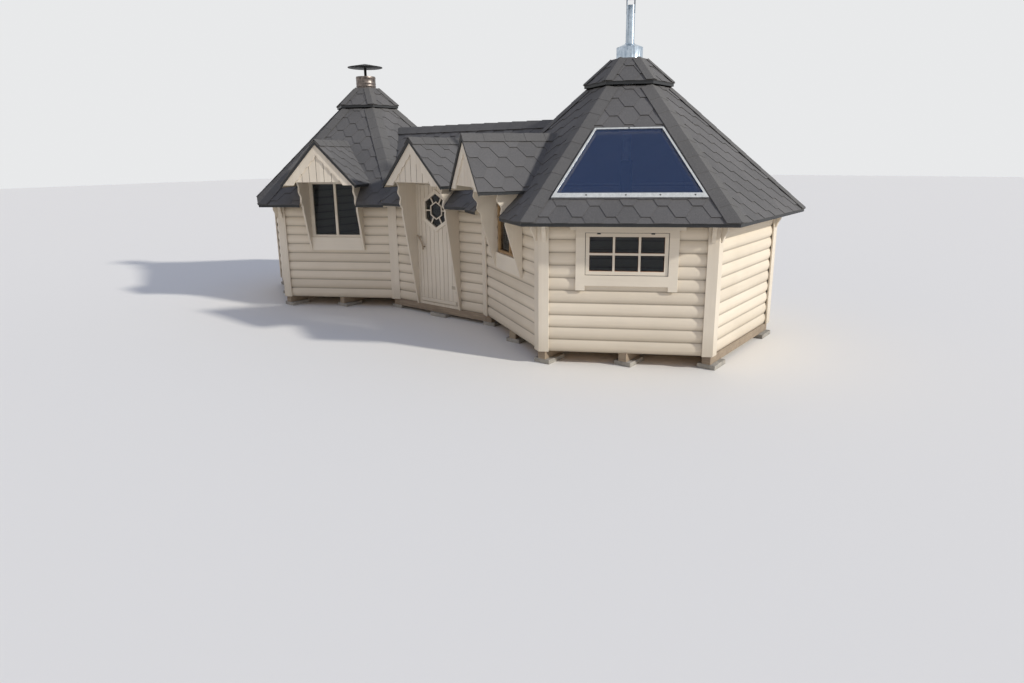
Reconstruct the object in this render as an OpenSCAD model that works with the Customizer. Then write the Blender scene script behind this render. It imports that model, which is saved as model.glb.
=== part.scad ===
// Two hexagonal log huts joined by a short gabled passage, in millimetres.
// Z is up from the ground. X runs along the passage, and -Y is the side with the door.

/* [Huts] */
// Length of one side of each hexagonal hut, outside
side = 1800; // [1650:10:2000]
// Distance between the centres of the two huts
hub_span = 4840; // [4600:10:5400]

/* [Log walls] */
// Height that one log adds to a wall
course = 135; // [125:1:145]
// Number of log courses up to the roof
courses = 12; // [11:1:14]
// Thickness of a wall log
log_t = 45; // [40:1:60]
// Depth of the rounding between two logs
groove = 11; // [6:1:14]

/* [Corner trim] */
// Width of a corner board
board_w = 98; // [80:1:120]
// Thickness of corner boards, casings and bargeboards
board_t = 20; // [16:1:28]
// Thickness of an eave bracket
bracket_t = 45; // [30:1:60]
// How far an eave bracket reaches out from its board
bracket_out = 120; // [90:1:150]
// Height of an eave bracket on its board
bracket_h = 400; // [320:5:450]

/* [Roofs] */
// Slope of the hut roofs in degrees
hut_pitch = 45; // [42:0.5:48]
// Slope of the passage roof in degrees
link_pitch = 42; // [38:0.5:44]
// How far the roofs reach out past the walls, level
eave_out = 270; // [220:5:300]
// Thickness of the roof panels
roof_t = 45; // [35:1:60]
// Height of the upright face of a roof at its eaves
eave_edge = 34; // [28:1:50]
// Corner radius of the smoke opening at the top of a hut roof
vent_r = 486; // [440:2:520]
// Thickness of the hip and ridge cappings
capping_t = 6; // [4:1:10]
// Width of a capping on each side of its hip or ridge
capping_w = 128; // [100:1:150]

/* [Vent caps] */
// Corner radius of a vent cap at its lower edge
cap_r = 524; // [510:2:580]
// Corner radius of the flat top of a vent cap
cap_top_r = 205; // [200:1:230]
// Thickness of a vent cap
cap_t = 24; // [18:1:32]
// Level gap between the roof and the cap above it
cap_gap = 54; // [30:1:70]
// Width of the feet that carry a cap on the hips
cap_foot_w = 45; // [30:1:60]
// How far the feet reach in past the edge of the smoke opening
cap_foot_in = 60; // [40:1:80]
// Diameter of the sleeve on each cap
sleeve_d = 310; // [280:2:336]
// Height of the left sleeve above its cap
sleeve_h = 192; // [150:2:230]
// Height of the right sleeve above its cap, without its cone
collar_h = 138; // [110:1:160]
// Height of the cone on the right sleeve
cone_h = 40; // [30:1:70]
// Thickness of the sheet metal
sheet_t = 3; // [2:0.5:5]

/* [Flue and chimney hat] */
// Diameter of the flue pipe on the right hut
flue_d = 100; // [90:1:120]
// Height of the flue pipe above its cap
flue_h = 600; // [480:5:700]
// Diameter of the rain hat on the flue
flue_hat_d = 210; // [180:5:260]
// Gap between the flue pipe and its rain hat
flue_hat_up = 80; // [60:1:110]
// Width of the two straps that carry the rain hat
hat_strap_w = 24; // [16:1:32]
// How far the straps run down the flue pipe
hat_strap_in = 90; // [60:5:120]
// Diameter of the chimney hat on the left hut
hat_d = 556; // [480:2:620]
// Height of the chimney hat at its middle
hat_h = 58; // [30:1:70]
// Diameter of the post that carries the chimney hat
hat_post_d = 42; // [34:1:60]
// How far that post runs down into the sleeve
hat_post_in = 120; // [80:5:140]
// Gap between the sleeve and the chimney hat
hat_gap = 140; // [120:1:190]
// Diameter of the wider pipe that the flue stands in, inside the hut
damper_d = 130; // [125:1:150]
// Height of the foot of the flue above the top of the wall
damper_up = 335; // [300:5:380]
// Diameter of the smoke hood at its brim
hood_d = 640; // [520:10:760]
// Height of the brim of the smoke hood above the wall foot
hood_z = 1230; // [1150:10:1300]

/* [Dormers] */
// Half the width of the clear bay between two dormer cheeks
bay_half = 398; // [380:1:430]
// Thickness of a dormer cheek
cheek_t = 26; // [20:1:34]
// How far the door dormer stands out from its wall
door_out = 437; // [400:1:480]
// How far the window dormers stand out from their walls
window_out = 530; // [480:2:580]
// Half the width of a dormer roof
dormer_half = 545; // [520:5:570]
// Slope of a dormer roof in degrees
dormer_pitch = 47; // [45:0.5:49]
// Height of the dormer ridge above the top of the wall
dormer_rise = 668; // [650:5:690]
// Thickness of a dormer roof
dormer_t = 22; // [18:1:30]
// Height of the soffit board above the top of the wall
soffit_up = 125; // [110:1:135]
// How far a cheek stands out at its foot
cheek_foot = 26; // [20:1:40]
// How far a cheek stands out at its top
cheek_head = 322; // [260:5:330]
// Width of a bargeboard
barge_w = 130; // [110:1:160]
// How far the foot of a bargeboard hangs below the soffit
barge_foot = 45; // [30:1:60]
// Depth of the waves on cheeks and bargeboards
wave = 14; // [6:1:16]
// Length of a wave on a cheek
wave_l = 150; // [120:1:180]
// Level length of a wave on a bargeboard
barge_wave_l = 82; // [70:1:100]

/* [Bay windows] */
// Height of the lower edge of the bay sill boards above the wall foot
bay_sill_h = 725; // [650:5:760]
// Height of a bay sill board
bay_sill_w = 175; // [140:5:190]
// Width of the bars of a window frame
sash_w = 52; // [44:1:60]
// Depth of a window frame
sash_t = 56; // [50:1:70]
// Height of the strip along the top of a sill board
nosing_t = 18; // [12:1:24]
// Thickness of the glass
glass_t = 8; // [6:1:12]

/* [Right window] */
// Width of the right window over its frame
win_w = 850; // [780:5:900]
// Height of the right window over its frame
win_h = 446; // [400:5:480]
// Height of the foot of the right window above the wall foot
win_sill = 847; // [820:1:880]
// Width of the casing boards beside the right window
casing_w = 98; // [80:1:120]
// How far the side casings run down past the window
casing_drop = 162; // [140:1:200]
// Height of the board under the right window
casing_sill = 112; // [90:1:130]
// Width of the rails around the panes of the right window
win_rail = 44; // [36:1:60]
// Gap between the right window and the board over it
casing_up = 26; // [10:1:40]
// Height of the board over the right window
casing_head = 54; // [40:1:80]
// How far the board over the right window reaches past the casings
casing_ear = 62; // [20:1:90]

/* [Roof window] */
// Distance of the roof window from the eave, along the slope
skylight_up = 303; // [270:1:340]
// Length of the roof window along the slope
skylight_l = 987; // [900:5:1020]
// Gap between the lower corners of the roof window and the cappings beside it
skylight_gap = 35; // [10:1:60]
// Gap between the upper corners of the roof window and the cappings beside it
skylight_top_gap = 43; // [15:1:70]
// Width of its side and top rails
rail_w = 22; // [18:1:40]
// Width of its lower rail
low_rail_w = 60; // [50:1:90]
// Height of its rails above the roof
rail_h = 40; // [30:1:60]

/* [Door] */
// Width of a jamb beside the door leaf
jamb_w = 44; // [36:1:52]
// Thickness of the door leaf
leaf_t = 42; // [36:1:48]
// Clear gap around the door leaf
leaf_gap = 4; // [3:0.5:6]
// Height of the door threshold
sill_t = 40; // [30:1:60]
// Corner radius of the door window
door_win_r = 235; // [200:1:250]
// Width of the raised trim around the door window
door_trim_w = 52; // [36:1:56]
// How far the trim and the foot rail stand out from the door
trim_out = 14; // [8:1:18]
// Width of the glazing bars of the door window
door_bar_w = 18; // [12:1:26]
// Width of the rail at the foot of the door
foot_rail_w = 46; // [40:1:80]
// Distance of the foot rail from the edges of the door
foot_rail_in = 12; // [6:1:20]
// Distance of the middle of the door window from the top of the door
door_win_drop = 350; // [330:1:400]
// Diameter of the hinge pins
pin_d = 9; // [7:0.5:12]
// Height of a hinge knuckle
knuckle_h = 44; // [34:1:54]
// Gap between a hinge strap of the leaf and the trim of the door window
strap_gap = 6; // [3:1:40]
// Height of the middle of the door handle above the wall foot
handle_z = 905; // [860:5:960]
// Radius of the curved door handle
handle_r = 260; // [220:5:320]
// Thickness of the door handle
handle_d = 24; // [18:1:30]

/* [Base] */
// Height of the concrete pads
pad_h = 50; // [40:1:80]
// Length of a concrete pad
pad_l = 300; // [240:10:360]
// Height of the timber bearers
bearer_h = 95; // [70:1:120]
// Width of the timber bearers
bearer_w = 95; // [70:1:120]
// Thickness of the floor
floor_t = 28; // [21:1:36]

/* [Hidden] */
fit = 0.3;
seat = 0.05;
ap = side * cos(30);
hub = hub_span / 2;
foot = pad_h + bearer_h;
wall_top = foot + courses * course;
hut_vt = roof_t / cos(hut_pitch);
link_vt = roof_t / cos(link_pitch);
dormer_vt = dormer_t / cos(dormer_pitch);
eave_q = ap + eave_out;
hut_eave_z = hut_z(eave_q);
link_eave_z = link_z(side / 2 + eave_out);
link_half = hub - ap;
vent_q = vent_r * cos(30);
cap_q = cap_r * cos(30);
cap_top_q = cap_top_r * cos(30);
cap_vt = cap_t / cos(hut_pitch);
cap_top_z = cap_z(cap_top_q);
sleeve_z = cap_top_z + sleeve_h;
soffit_z = wall_top + soffit_up;
dormer_ridge_z = wall_top + dormer_rise;
log_r = (course * course / 4 + groove * groove) / (2 * groove);
leaf_w = 2 * (bay_half - jamb_w - leaf_gap);
hinge_x = leaf_w / 2 + leaf_gap / 2;
hinge_out = 14;
knuckle_d = pin_d + 9;
leaf_z = foot + sill_t + leaf_gap;
leaf_h = soffit_z - jamb_w - leaf_gap - leaf_z;
door_win_z = leaf_z + leaf_h - door_win_drop;
bay_low = foot + bay_sill_h + bay_sill_w;
bay_h = soffit_z - bay_low;
win_z = foot + win_sill + win_h / 2;
skylight_w = 2 * (beside_capping(skylight_up) - skylight_gap);
skylight_top_w = 2 * (beside_capping(skylight_up + skylight_l) - skylight_top_gap);
link_bearer_y = side / 2 - bearer_w / 2 - 4;
hut_roof_top = wall_top + hut_vt;
link_roof_top = wall_top + link_vt;
hinge_heights = [0.14, 0.5, 0.86];
big = 5000;

// Height of the upper face of a hut roof at the level distance q from the hut's axis.
function hut_z(q) = wall_top + hut_vt + (ap - q) * tan(hut_pitch);

// Height of the upper face of the passage roof at the level distance y from its ridge.
function link_z(y) = wall_top + link_vt + (side / 2 - y) * tan(link_pitch);

// Height of the upper face of a vent cap at the level distance q from its axis.
function cap_z(q) = hut_z(q) + cap_gap + cap_vt;

// Half the width of a hut roof face between its cappings, at the distance s up from the eave.
function beside_capping(s) = (eave_q - s * cos(hut_pitch)) * tan(30) - capping_w / 1.2 / cos(30);

// Height of the upper face of a dormer roof at the distance x from its ridge.
function dormer_z(x) = dormer_ridge_z - x * tan(dormer_pitch);

// Puts the children on a wall: X along it, -Y out of it, Z up from the ground.
module on_wall(x, angle, out) {
    translate([x, 0, 0]) rotate([0, 0, angle + 90]) translate([0, -out, 0]) children();
}

// Puts the children on a hut roof: Y up the slope from the eave, Z out of it.
module on_hut_roof(x, angle) {
    on_wall(x, angle, ap) translate([0, -eave_out, hut_eave_z]) rotate([hut_pitch, 0, 0]) children();
}

// Extrudes a section, drawn as depth and height, along a wall.
module along_wall(length) {
    translate([-length / 2, 0, 0]) rotate([90, 0, 90]) linear_extrude(length) children();
}

// Extrudes a front view, drawn as width and height, from y1 back to y2.
module through_wall(y1, y2) {
    translate([0, y2, 0]) rotate([90, 0, 0]) linear_extrude(y2 - y1) children();
}

module hexagon(q) {
    rotate(30) circle(r = q / cos(30), $fn = 6);
}

module hex_frustum(q1, z1, q2, z2) {
    translate([0, 0, z1]) rotate([0, 0, 30])
        cylinder(h = z2 - z1, r1 = q1 / cos(30), r2 = q2 / cos(30), $fn = 6);
}

// Section of a log wall: flat inside, one round face a course outside.
module log_section() {
    for (i = [0 : courses])
        translate([0, foot + i * course]) intersection() {
            square([log_t, course]);
            translate([log_r, course / 2]) circle(r = log_r, $fn = 180);
        }
}

// Space under a hut roof panel, seen along the wall.
module under_roof_section(pitch) {
    reach = log_t + 10;
    top = wall_top - seat;
    polygon([[-10, 0], [reach, 0], [reach, top + reach * tan(pitch)], [-10, top - 10 * tan(pitch)]]);
}

// Log wall with mitred ends, cut to the slope of the roof above it.
module log_wall(length, mitre, pitch) {
    inset = log_t * tan(mitre);
    intersection() {
        along_wall(length) intersection() {
            log_section();
            under_roof_section(pitch);
        }
        linear_extrude(2 * wall_top) polygon([
            [-length / 2, 0], [length / 2, 0],
            [length / 2 - inset, log_t], [-length / 2 + inset, log_t]]);
    }
}

module hut_wall() {
    log_wall(side, 30, hut_pitch);
}

// Log wall that stops at a window between two dormer cheeks.
module bay_wall() {
    difference() {
        hut_wall();
        translate([-bay_half, -10, foot + bay_sill_h + bay_sill_w]) cube([2 * bay_half, log_t + 20, big]);
    }
}

module link_wall_piece(x1, x2) {
    on_wall(0, 270, side / 2) intersection() {
        log_wall(2 * link_half, 0, link_pitch);
        translate([x1, -10, 0]) cube([x2 - x1, log_t + 20, 2 * wall_top]);
    }
}

// Solid under the upper face of a hut roof, down to the ground.
module hut_mass() {
    hex_frustum(eave_q, hut_eave_z, vent_q, hut_z(vent_q));
    linear_extrude(hut_eave_z) hexagon(eave_q);
}

// Space under the lower face of a hut roof.
module hut_space() {
    drop = 60;
    hex_frustum(eave_q + drop, hut_z(eave_q + drop) - hut_vt, 1, hut_z(1) - hut_vt);
}

module link_gable(lift) {
    y = side / 2 + eave_out;
    polygon([[-y, 0], [y, 0], [y, link_z(y) + lift], [0, link_z(0) + lift], [-y, link_z(y) + lift]]);
}

// Prism under one of the faces of the passage roof.
module link_mass(lift) {
    rotate([0, 0, 90]) through_wall(-hub, hub) link_gable(lift);
}

// Front view of the space under a dormer roof, out to the half width x.
module dormer_gable(x, lift, low) {
    polygon([[-x, low], [x, low], [x, dormer_z(x) + lift], [0, dormer_z(0) + lift], [-x, dormer_z(x) + lift]]);
}

// Cut for a dormer: the notch in the eave and the opening under the dormer roof.
module dormer_cut(depth) {
    through_wall(0, depth) dormer_gable(bay_half, -dormer_vt, wall_top - course);
    translate([-bay_half - cheek_t, -big, foot]) cube([2 * (bay_half + cheek_t), big, wall_top]);
}

module hut_roof_panels() {
    spare = 100;
    difference() {
        intersection() {
            hex_frustum(eave_q + spare, hut_z(eave_q + spare), vent_q, hut_z(vent_q));
            translate([0, 0, hut_eave_z - eave_edge]) linear_extrude(big) hexagon(eave_q);
        }
        hut_space();
    }
}

// Dormer roof as it would be without the roof behind it.
module dormer_roof_panels(out, back) {
    through_wall(-out - 14, back) difference() {
        dormer_gable(dormer_half, 0, dormer_z(dormer_half) - dormer_vt);
        dormer_gable(dormer_half + 1, -dormer_vt, 0);
    }
}

// Side view of a dormer cheek: a slanted front edge with waves near its top, and a tail
// that lies on the roof.
module cheek_view(out, low, roof_top, pitch) {
    steps = 60;
    waved = 2.75 * wave_l;
    high = dormer_z(bay_half);
    tail = (high - roof_top) / tan(pitch);
    gable_back = out - 2 * board_t;
    lean = (cheek_head - cheek_foot) / (soffit_z - low);
    polygon(concat(
        [[0, low], [-cheek_foot, low]],
        [for (i = [0 : steps]) let (t = waved * (1 - i / steps), z = soffit_z - t)
            [-cheek_foot - lean * (z - low) - wave * cos(360 * t / wave_l), z]],
        [[-gable_back, soffit_z], [-gable_back, high], [tail, high], [0, roof_top]]));
}

// Waved bargeboards of a gable, in front view.
module barge_view() {
    steps = 56;
    reach = dormer_half;
    drop = barge_w / cos(dormer_pitch);
    depth = wave * 0.7;
    difference() {
        polygon(concat(
            [[-reach, dormer_z(reach)], [0, dormer_z(0)], [reach, dormer_z(reach)]],
            [for (i = [0 : steps]) let (x = reach * (1 - i / steps))
                [x, dormer_z(x) - drop + depth * cos(360 * x / barge_wave_l)]],
            [for (i = [1 : steps]) let (x = reach * i / steps)
                [-x, dormer_z(x) - drop + depth * cos(360 * x / barge_wave_l)]]));
        translate([-big / 2, soffit_z - barge_foot - big]) square(big);
    }
}

// Cheeks, soffit, gable panel and bargeboards of one dormer.
module dormer_front(out, low, roof_top, pitch) {
    gable_y = -out + board_t;
    for (x = [-bay_half - cheek_t, bay_half]) intersection() {
        translate([x, 0, 0]) rotate([90, 0, 90]) linear_extrude(cheek_t) cheek_view(out, low, roof_top, pitch);
        through_wall(-big, big) dormer_gable(dormer_half, -dormer_vt - seat, 0);
    }
    translate([-bay_half, gable_y + board_t, soffit_z])
        cube([2 * bay_half, -gable_y - board_t, board_t]);
    through_wall(gable_y, gable_y + board_t)
        dormer_gable(bay_half + cheek_t, -dormer_vt - seat, soffit_z);
    through_wall(-out, gable_y) intersection() {
        barge_view();
        dormer_gable(dormer_half, -dormer_vt - seat, 0);
    }
}

// Frame of a window, drawn flat with its middle at the origin.
module frame_view(w, h, bar) {
    difference() {
        square([w, h], center = true);
        square([w - 2 * bar, h - 2 * bar], center = true);
    }
}

// Frame and sill board of a window between two cheeks.
module bay_window() {
    translate([0, 0, bay_low + bay_h / 2])
        through_wall(groove, groove + sash_t) {
            frame_view(2 * bay_half, bay_h, sash_w);
            square([sash_w * 0.7, bay_h], center = true);
        }
    translate([-bay_half, -board_t - fit, foot + bay_sill_h])
        cube([2 * bay_half, board_t, bay_sill_w]);
    translate([-bay_half, -board_t - fit, bay_low])
        cube([2 * bay_half, board_t + fit + groove, nosing_t]);
}

module bay_glass() {
    y = groove + sash_t / 2;
    clear = sash_w + fit;
    half_bar = sash_w * 0.35 + fit;
    for (x = [-bay_half + clear, half_bar])
        translate([x, y - glass_t / 2, bay_low + clear])
            cube([bay_half - clear - half_bar, glass_t, bay_h - 2 * clear]);
}

module right_window_hole() {
    translate([-win_w / 2, -10, foot + win_sill]) cube([win_w, log_t + 20, win_h]);
}

module pane_grid(w, h, clear) {
    bar = 24;
    pw = (w - 2 * win_rail - 2 * bar) / 3;
    ph = (h - 2 * win_rail - bar) / 2;
    for (i = [-1 : 1], j = [-1, 1])
        translate([i * (pw + bar), j * (ph + bar) / 2]) square([pw - 2 * clear, ph - 2 * clear], center = true);
}

module right_window_frame() {
    translate([0, 0, win_z]) through_wall(groove - 20, groove + sash_t - 20) difference() {
        square([win_w - 2 * fit, win_h - 2 * fit], center = true);
        pane_grid(win_w, win_h, 0);
    }
}

module casing_view() {
    z1 = foot + win_sill;
    z2 = z1 + win_h;
    z3 = z2 + casing_up;
    x1 = win_w / 2;
    ear = x1 + casing_w + casing_ear;
    for (s = [-1, 1]) scale([s, 1])
        translate([x1, z1 - casing_drop]) square([casing_w, z3 - z1 + casing_drop]);
    translate([-x1, z1 - casing_sill]) square([2 * x1, casing_sill]);
    translate([-x1, z2]) square([2 * x1, casing_up]);
    polygon([
        [-ear, z3], [ear, z3], [ear, z3 + casing_head - 12], [ear - 12, z3 + casing_head],
        [12 - ear, z3 + casing_head], [-ear, z3 + casing_head - 12]]);
}

module casing() {
    through_wall(-board_t - fit, -fit) casing_view();
}

// Corner board at the end s of a wall. It is mitred at a free corner, and where the
// passage wall turns outward it runs on until it meets that wall.
module wall_board(s, meets_passage) {
    high = wall_top - (board_t + fit) * tan(hut_pitch) - 1;
    reach = meets_passage ? board_t / tan(30) - fit : board_t * tan(30);
    translate([0, 0, foot]) linear_extrude(high - foot) polygon([
        [s * (side / 2 - board_w), -fit], [s * side / 2, -fit],
        [s * (side / 2 + reach), -board_t - fit], [s * (side / 2 - board_w), -board_t - fit]]);
}

// Side view of an eave bracket: tapered, with two hollows on its lower edge.
module bracket_view() {
    y0 = board_t + fit;
    top = wall_top - y0 * tan(hut_pitch) - 1;
    low = top - bracket_h;
    steps = 30;
    polygon(concat(
        [[y0, low], [y0, top], [y0 + bracket_out, top - bracket_out * tan(hut_pitch)]],
        [for (i = [0 : steps]) let (s = i / steps)
            [y0 + 14 + (bracket_out - 14) * (1 - s) * (1 - s * 0.25) + wave * sin(720 * s) * (1 - s),
             top - bracket_out * tan(hut_pitch) - 24
             - (bracket_h - bracket_out * tan(hut_pitch) - 24) * s]]));
}

module wall_brackets(ends) {
    for (s = ends)
        translate([s * (side / 2 - board_w / 2) - bracket_t / 2, 0, 0])
            rotate([90, 0, 90]) linear_extrude(bracket_t) scale([-1, 1]) bracket_view();
}

module hut_boards(x, flip) {
    for (a = [60 : 60 : 300], s = [-1, 1])
        on_wall(x, a + flip, ap) wall_board(s, (a == 60 && s < 0) || (a == 300 && s > 0));
}

module hut_brackets(x, flip) {
    for (a = [60 : 60 : 300])
        on_wall(x, a + flip, ap) wall_brackets(a == 60 ? [1] : a == 300 ? [-1] : [-1, 1]);
}

// Posts that close the corner between a hut wall and the passage wall.
module link_post() {
    d = log_t / cos(30);
    v = [-link_half, -side / 2];
    linear_extrude(wall_top) polygon([
        v, v + [0, 2 * log_t], v + [-log_t, 2 * log_t], v + [-d * cos(30), d * sin(30)]]);
}

module hip_capping(x) {
    lift = capping_t / cos(hut_pitch);
    translate([x, 0, 0]) intersection() {
        difference() {
            translate([0, 0, lift]) hut_mass();
            translate([0, 0, seat]) hut_mass();
            linear_extrude(big) hexagon(vent_q);
        }
        for (a = [30 : 60 : 330])
            rotate([0, 0, a]) translate([0, -capping_w / 1.2, hut_eave_z - 2])
                cube([big, 2 * capping_w / 1.2, big]);
    }
}

module left_roof_solid() {
    difference() {
        translate([-hub, 0, 0]) hut_roof_panels();
        link_mass(-link_vt);
        on_wall(-hub, 300, ap) dormer_cut(ap);
    }
}

module right_roof_solid() {
    difference() {
        translate([hub, 0, 0]) hut_roof_panels();
        link_mass(-link_vt);
        on_wall(hub, 240, ap) dormer_cut(ap);
        on_hut_roof(hub, 300) translate([0, 0, -2 * roof_t]) linear_extrude(4 * roof_t) skylight_view(rail_w, low_rail_w);
    }
}

module both_hut_masses() {
    translate([-hub, 0, 0]) hut_mass();
    translate([hub, 0, 0]) hut_mass();
}

module link_roof_solid() {
    difference() {
        link_mass(0);
        link_mass(-link_vt);
        both_hut_masses();
        on_wall(0, 270, side / 2) dormer_cut(side / 2);
        translate([-big / 2, -big / 2, link_eave_z - eave_edge - big]) cube(big);
    }
}

module vent_cap() {
    difference() {
        hex_frustum(cap_q, cap_z(cap_q), cap_top_q, cap_top_z);
        hex_frustum(cap_q + 1, cap_z(cap_q + 1) - cap_vt, cap_top_q, cap_top_z - cap_vt);
        translate([0, 0, cap_top_z - 5 * cap_vt]) cylinder(h = 6 * cap_vt, d = sleeve_d + 2 * fit, $fn = 96);
    }
    intersection() {
        difference() {
            hex_frustum(eave_q, cap_z(eave_q) - cap_vt, cap_top_q, cap_top_z - cap_vt);
            translate([0, 0, capping_t / cos(hut_pitch)]) hut_mass();
            linear_extrude(big) hexagon(vent_q - cap_foot_in);
        }
        for (a = [30 : 60 : 330])
            rotate([0, 0, a]) translate([0, -cap_foot_w / 2, 0]) cube([vent_r + 10, cap_foot_w, big]);
    }
}

// Section of a sleeve that stands in the cap: a wall, a top that rises to the pipe, and a
// collar on the flat of the cap.
module sleeve_section(high, rise, bore) {
    low = cap_top_z - 2 * cap_vt;
    r = sleeve_d / 2;
    polygon([
        [r - sheet_t, low], [r, low], [r, cap_top_z + seat], [cap_top_q - 2, cap_top_z + seat],
        [cap_top_q - 2, cap_top_z + sheet_t], [r, cap_top_z + sheet_t], [r, cap_top_z + high],
        [bore / 2, cap_top_z + high + rise], [bore / 2, cap_top_z + high + rise - 2 * sheet_t],
        [r - sheet_t, cap_top_z + high - 2 * sheet_t]]);
}

module sleeve(high, rise, bore) {
    rotate_extrude($fn = 96) sleeve_section(high, rise, bore);
}

// Trapezoid of the roof window, drawn from the eave line, less its rails.
module skylight_view(inset, low_inset) {
    lean = atan2((skylight_w - skylight_top_w) / 2, skylight_l);
    function half_at(s) = skylight_w / 2 - s * tan(lean) - inset / cos(lean);
    s1 = low_inset;
    s2 = skylight_l - inset;
    translate([0, skylight_up]) polygon([
        [-half_at(s1), s1], [half_at(s1), s1], [half_at(s2), s2], [-half_at(s2), s2]]);
}

module foundation_pads() {
    color("darkgray") {
        for (x = [-hub, hub], k = [-2 : 2]) let (dx = bearer_x(k), y = bearer_l(k) / 2 - pad_l / 2)
            for (s = [-1, 1]) translate([x + dx - pad_l / 3, s * y - pad_l / 2, 0])
                cube([pad_l * 2 / 3, pad_l, pad_h]);
        for (s = [-1, 1]) translate([-pad_l / 2, s * link_bearer_y - pad_l / 3, 0])
            cube([pad_l, pad_l * 2 / 3, pad_h]);
    }
}

// Place and length of one of the five bearers under a hut.
function bearer_x(k) = k * (ap - bearer_w / 2 - 4) / 2;
function bearer_l(k) = 2 * (side - (abs(bearer_x(k)) + bearer_w / 2) * tan(30)) - 12;

module hut_bearers() {
    color("tan") for (k = [-2 : 2])
        translate([bearer_x(k) - bearer_w / 2, -bearer_l(k) / 2, pad_h]) cube([bearer_w, bearer_l(k), bearer_h]);
}

module left_bearers() {
    translate([-hub, 0, 0]) hut_bearers();
}

module right_bearers() {
    translate([hub, 0, 0]) hut_bearers();
}

module link_bearers() {
    color("tan") for (s = [-1, 1])
        translate([-link_half + 1, s * link_bearer_y - bearer_w / 2, pad_h])
            cube([2 * link_half - 2, bearer_w, bearer_h]);
}

module hut_floor() {
    color("burlywood") translate([0, 0, foot]) linear_extrude(floor_t) hexagon(ap - log_t - fit);
}

module left_floor() {
    translate([-hub, 0, 0]) hut_floor();
}

module right_floor() {
    translate([hub, 0, 0]) hut_floor();
}

module link_floor() {
    x = link_half - fit;
    y = side / 2 - 2 * log_t - fit;
    color("burlywood") translate([-x, -y, foot]) cube([2 * x, 2 * y, floor_t]);
    color("burlywood") translate([-x + 2 * log_t, -side / 2 + log_t + fit, foot])
        cube([2 * (x - 2 * log_t), side - 2 * log_t - 2 * fit, floor_t]);
}

module left_window_wall() {
    color("tan") on_wall(-hub, 300, ap) bay_wall();
}

module left_front_wall() {
    color("tan") on_wall(-hub, 240, ap) hut_wall();
}

module left_end_wall() {
    color("tan") on_wall(-hub, 180, ap) hut_wall();
}

module left_rear_wall() {
    color("tan") on_wall(-hub, 120, ap) hut_wall();
}

module left_inner_wall() {
    color("tan") on_wall(-hub, 60, ap) hut_wall();
}

module right_window_wall() {
    color("tan") difference() {
        on_wall(hub, 300, ap) hut_wall();
        on_wall(hub, 300, ap) right_window_hole();
    }
}

module right_bay_wall() {
    color("tan") on_wall(hub, 240, ap) bay_wall();
}

module right_end_wall() {
    color("tan") on_wall(hub, 0, ap) hut_wall();
}

module right_rear_wall() {
    color("tan") on_wall(hub, 60, ap) hut_wall();
}

module right_inner_wall() {
    color("tan") on_wall(hub, 120, ap) hut_wall();
}

module link_wall_left() {
    color("tan") link_wall_piece(-link_half, -bay_half);
}

module link_wall_right() {
    color("tan") link_wall_piece(bay_half, link_half);
}

module link_back_wall() {
    color("tan") on_wall(0, 90, side / 2) log_wall(2 * link_half, 0, link_pitch);
}

module link_posts() {
    color("tan") intersection() {
        for (sx = [0, 1], sy = [0, 1]) mirror([sx, 0, 0]) mirror([0, sy, 0]) link_post();
        translate([-big, -big, foot]) cube([2 * big, 2 * big, wall_top]);
    }
}

module left_corner_boards() {
    color("wheat") hut_boards(-hub, 0);
}

module right_corner_boards() {
    color("wheat") hut_boards(hub, 180);
}

module left_brackets() {
    color("wheat") hut_brackets(-hub, 0);
}

module right_brackets() {
    color("wheat") hut_brackets(hub, 180);
}

module left_roof() {
    color("dimgray") left_roof_solid();
}

module right_roof() {
    color("dimgray") right_roof_solid();
}

module link_roof() {
    color("dimgray") link_roof_solid();
}

module left_hip_caps() {
    color("gray") difference() {
        hip_capping(-hub);
        link_mass(0);
    }
}

module right_hip_caps() {
    color("gray") difference() {
        hip_capping(hub);
        link_mass(0);
    }
}

module link_ridge_cap() {
    color("gray") difference() {
        intersection() {
            link_mass(capping_t / cos(link_pitch));
            translate([-hub, -capping_w, 0]) cube([2 * hub, 2 * capping_w, big]);
        }
        link_mass(seat);
        both_hut_masses();
        on_wall(0, 270, side / 2) through_wall(-door_out, side) dormer_gable(dormer_half, 0, 0);
    }
}

module left_vent_cap() {
    color("dimgray") translate([-hub, 0, 0]) vent_cap();
}

module right_vent_cap() {
    color("dimgray") translate([hub, 0, 0]) vent_cap();
}

module left_sleeve() {
    color("saddlebrown") translate([-hub, 0, 0]) sleeve(sleeve_h, 0, hat_post_d + 2 * fit);
}

module right_sleeve() {
    color("silver") translate([hub, 0, 0]) sleeve(collar_h, cone_h, flue_d + 2 * fit);
}

module chimney_hat() {
    low = sleeve_z - hat_post_in;
    brim_z = sleeve_z + hat_gap;
    color("black") translate([-hub, 0, 0]) {
        translate([0, 0, low]) cylinder(h = brim_z - low, d = hat_post_d, $fn = 48);
        translate([0, 0, brim_z]) rotate_extrude($fn = 96) polygon([
            [0, 0], [hat_d / 2, 0], [hat_d / 2, 8], [hat_post_d / 2, hat_h], [0, hat_h]]);
    }
}

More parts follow.
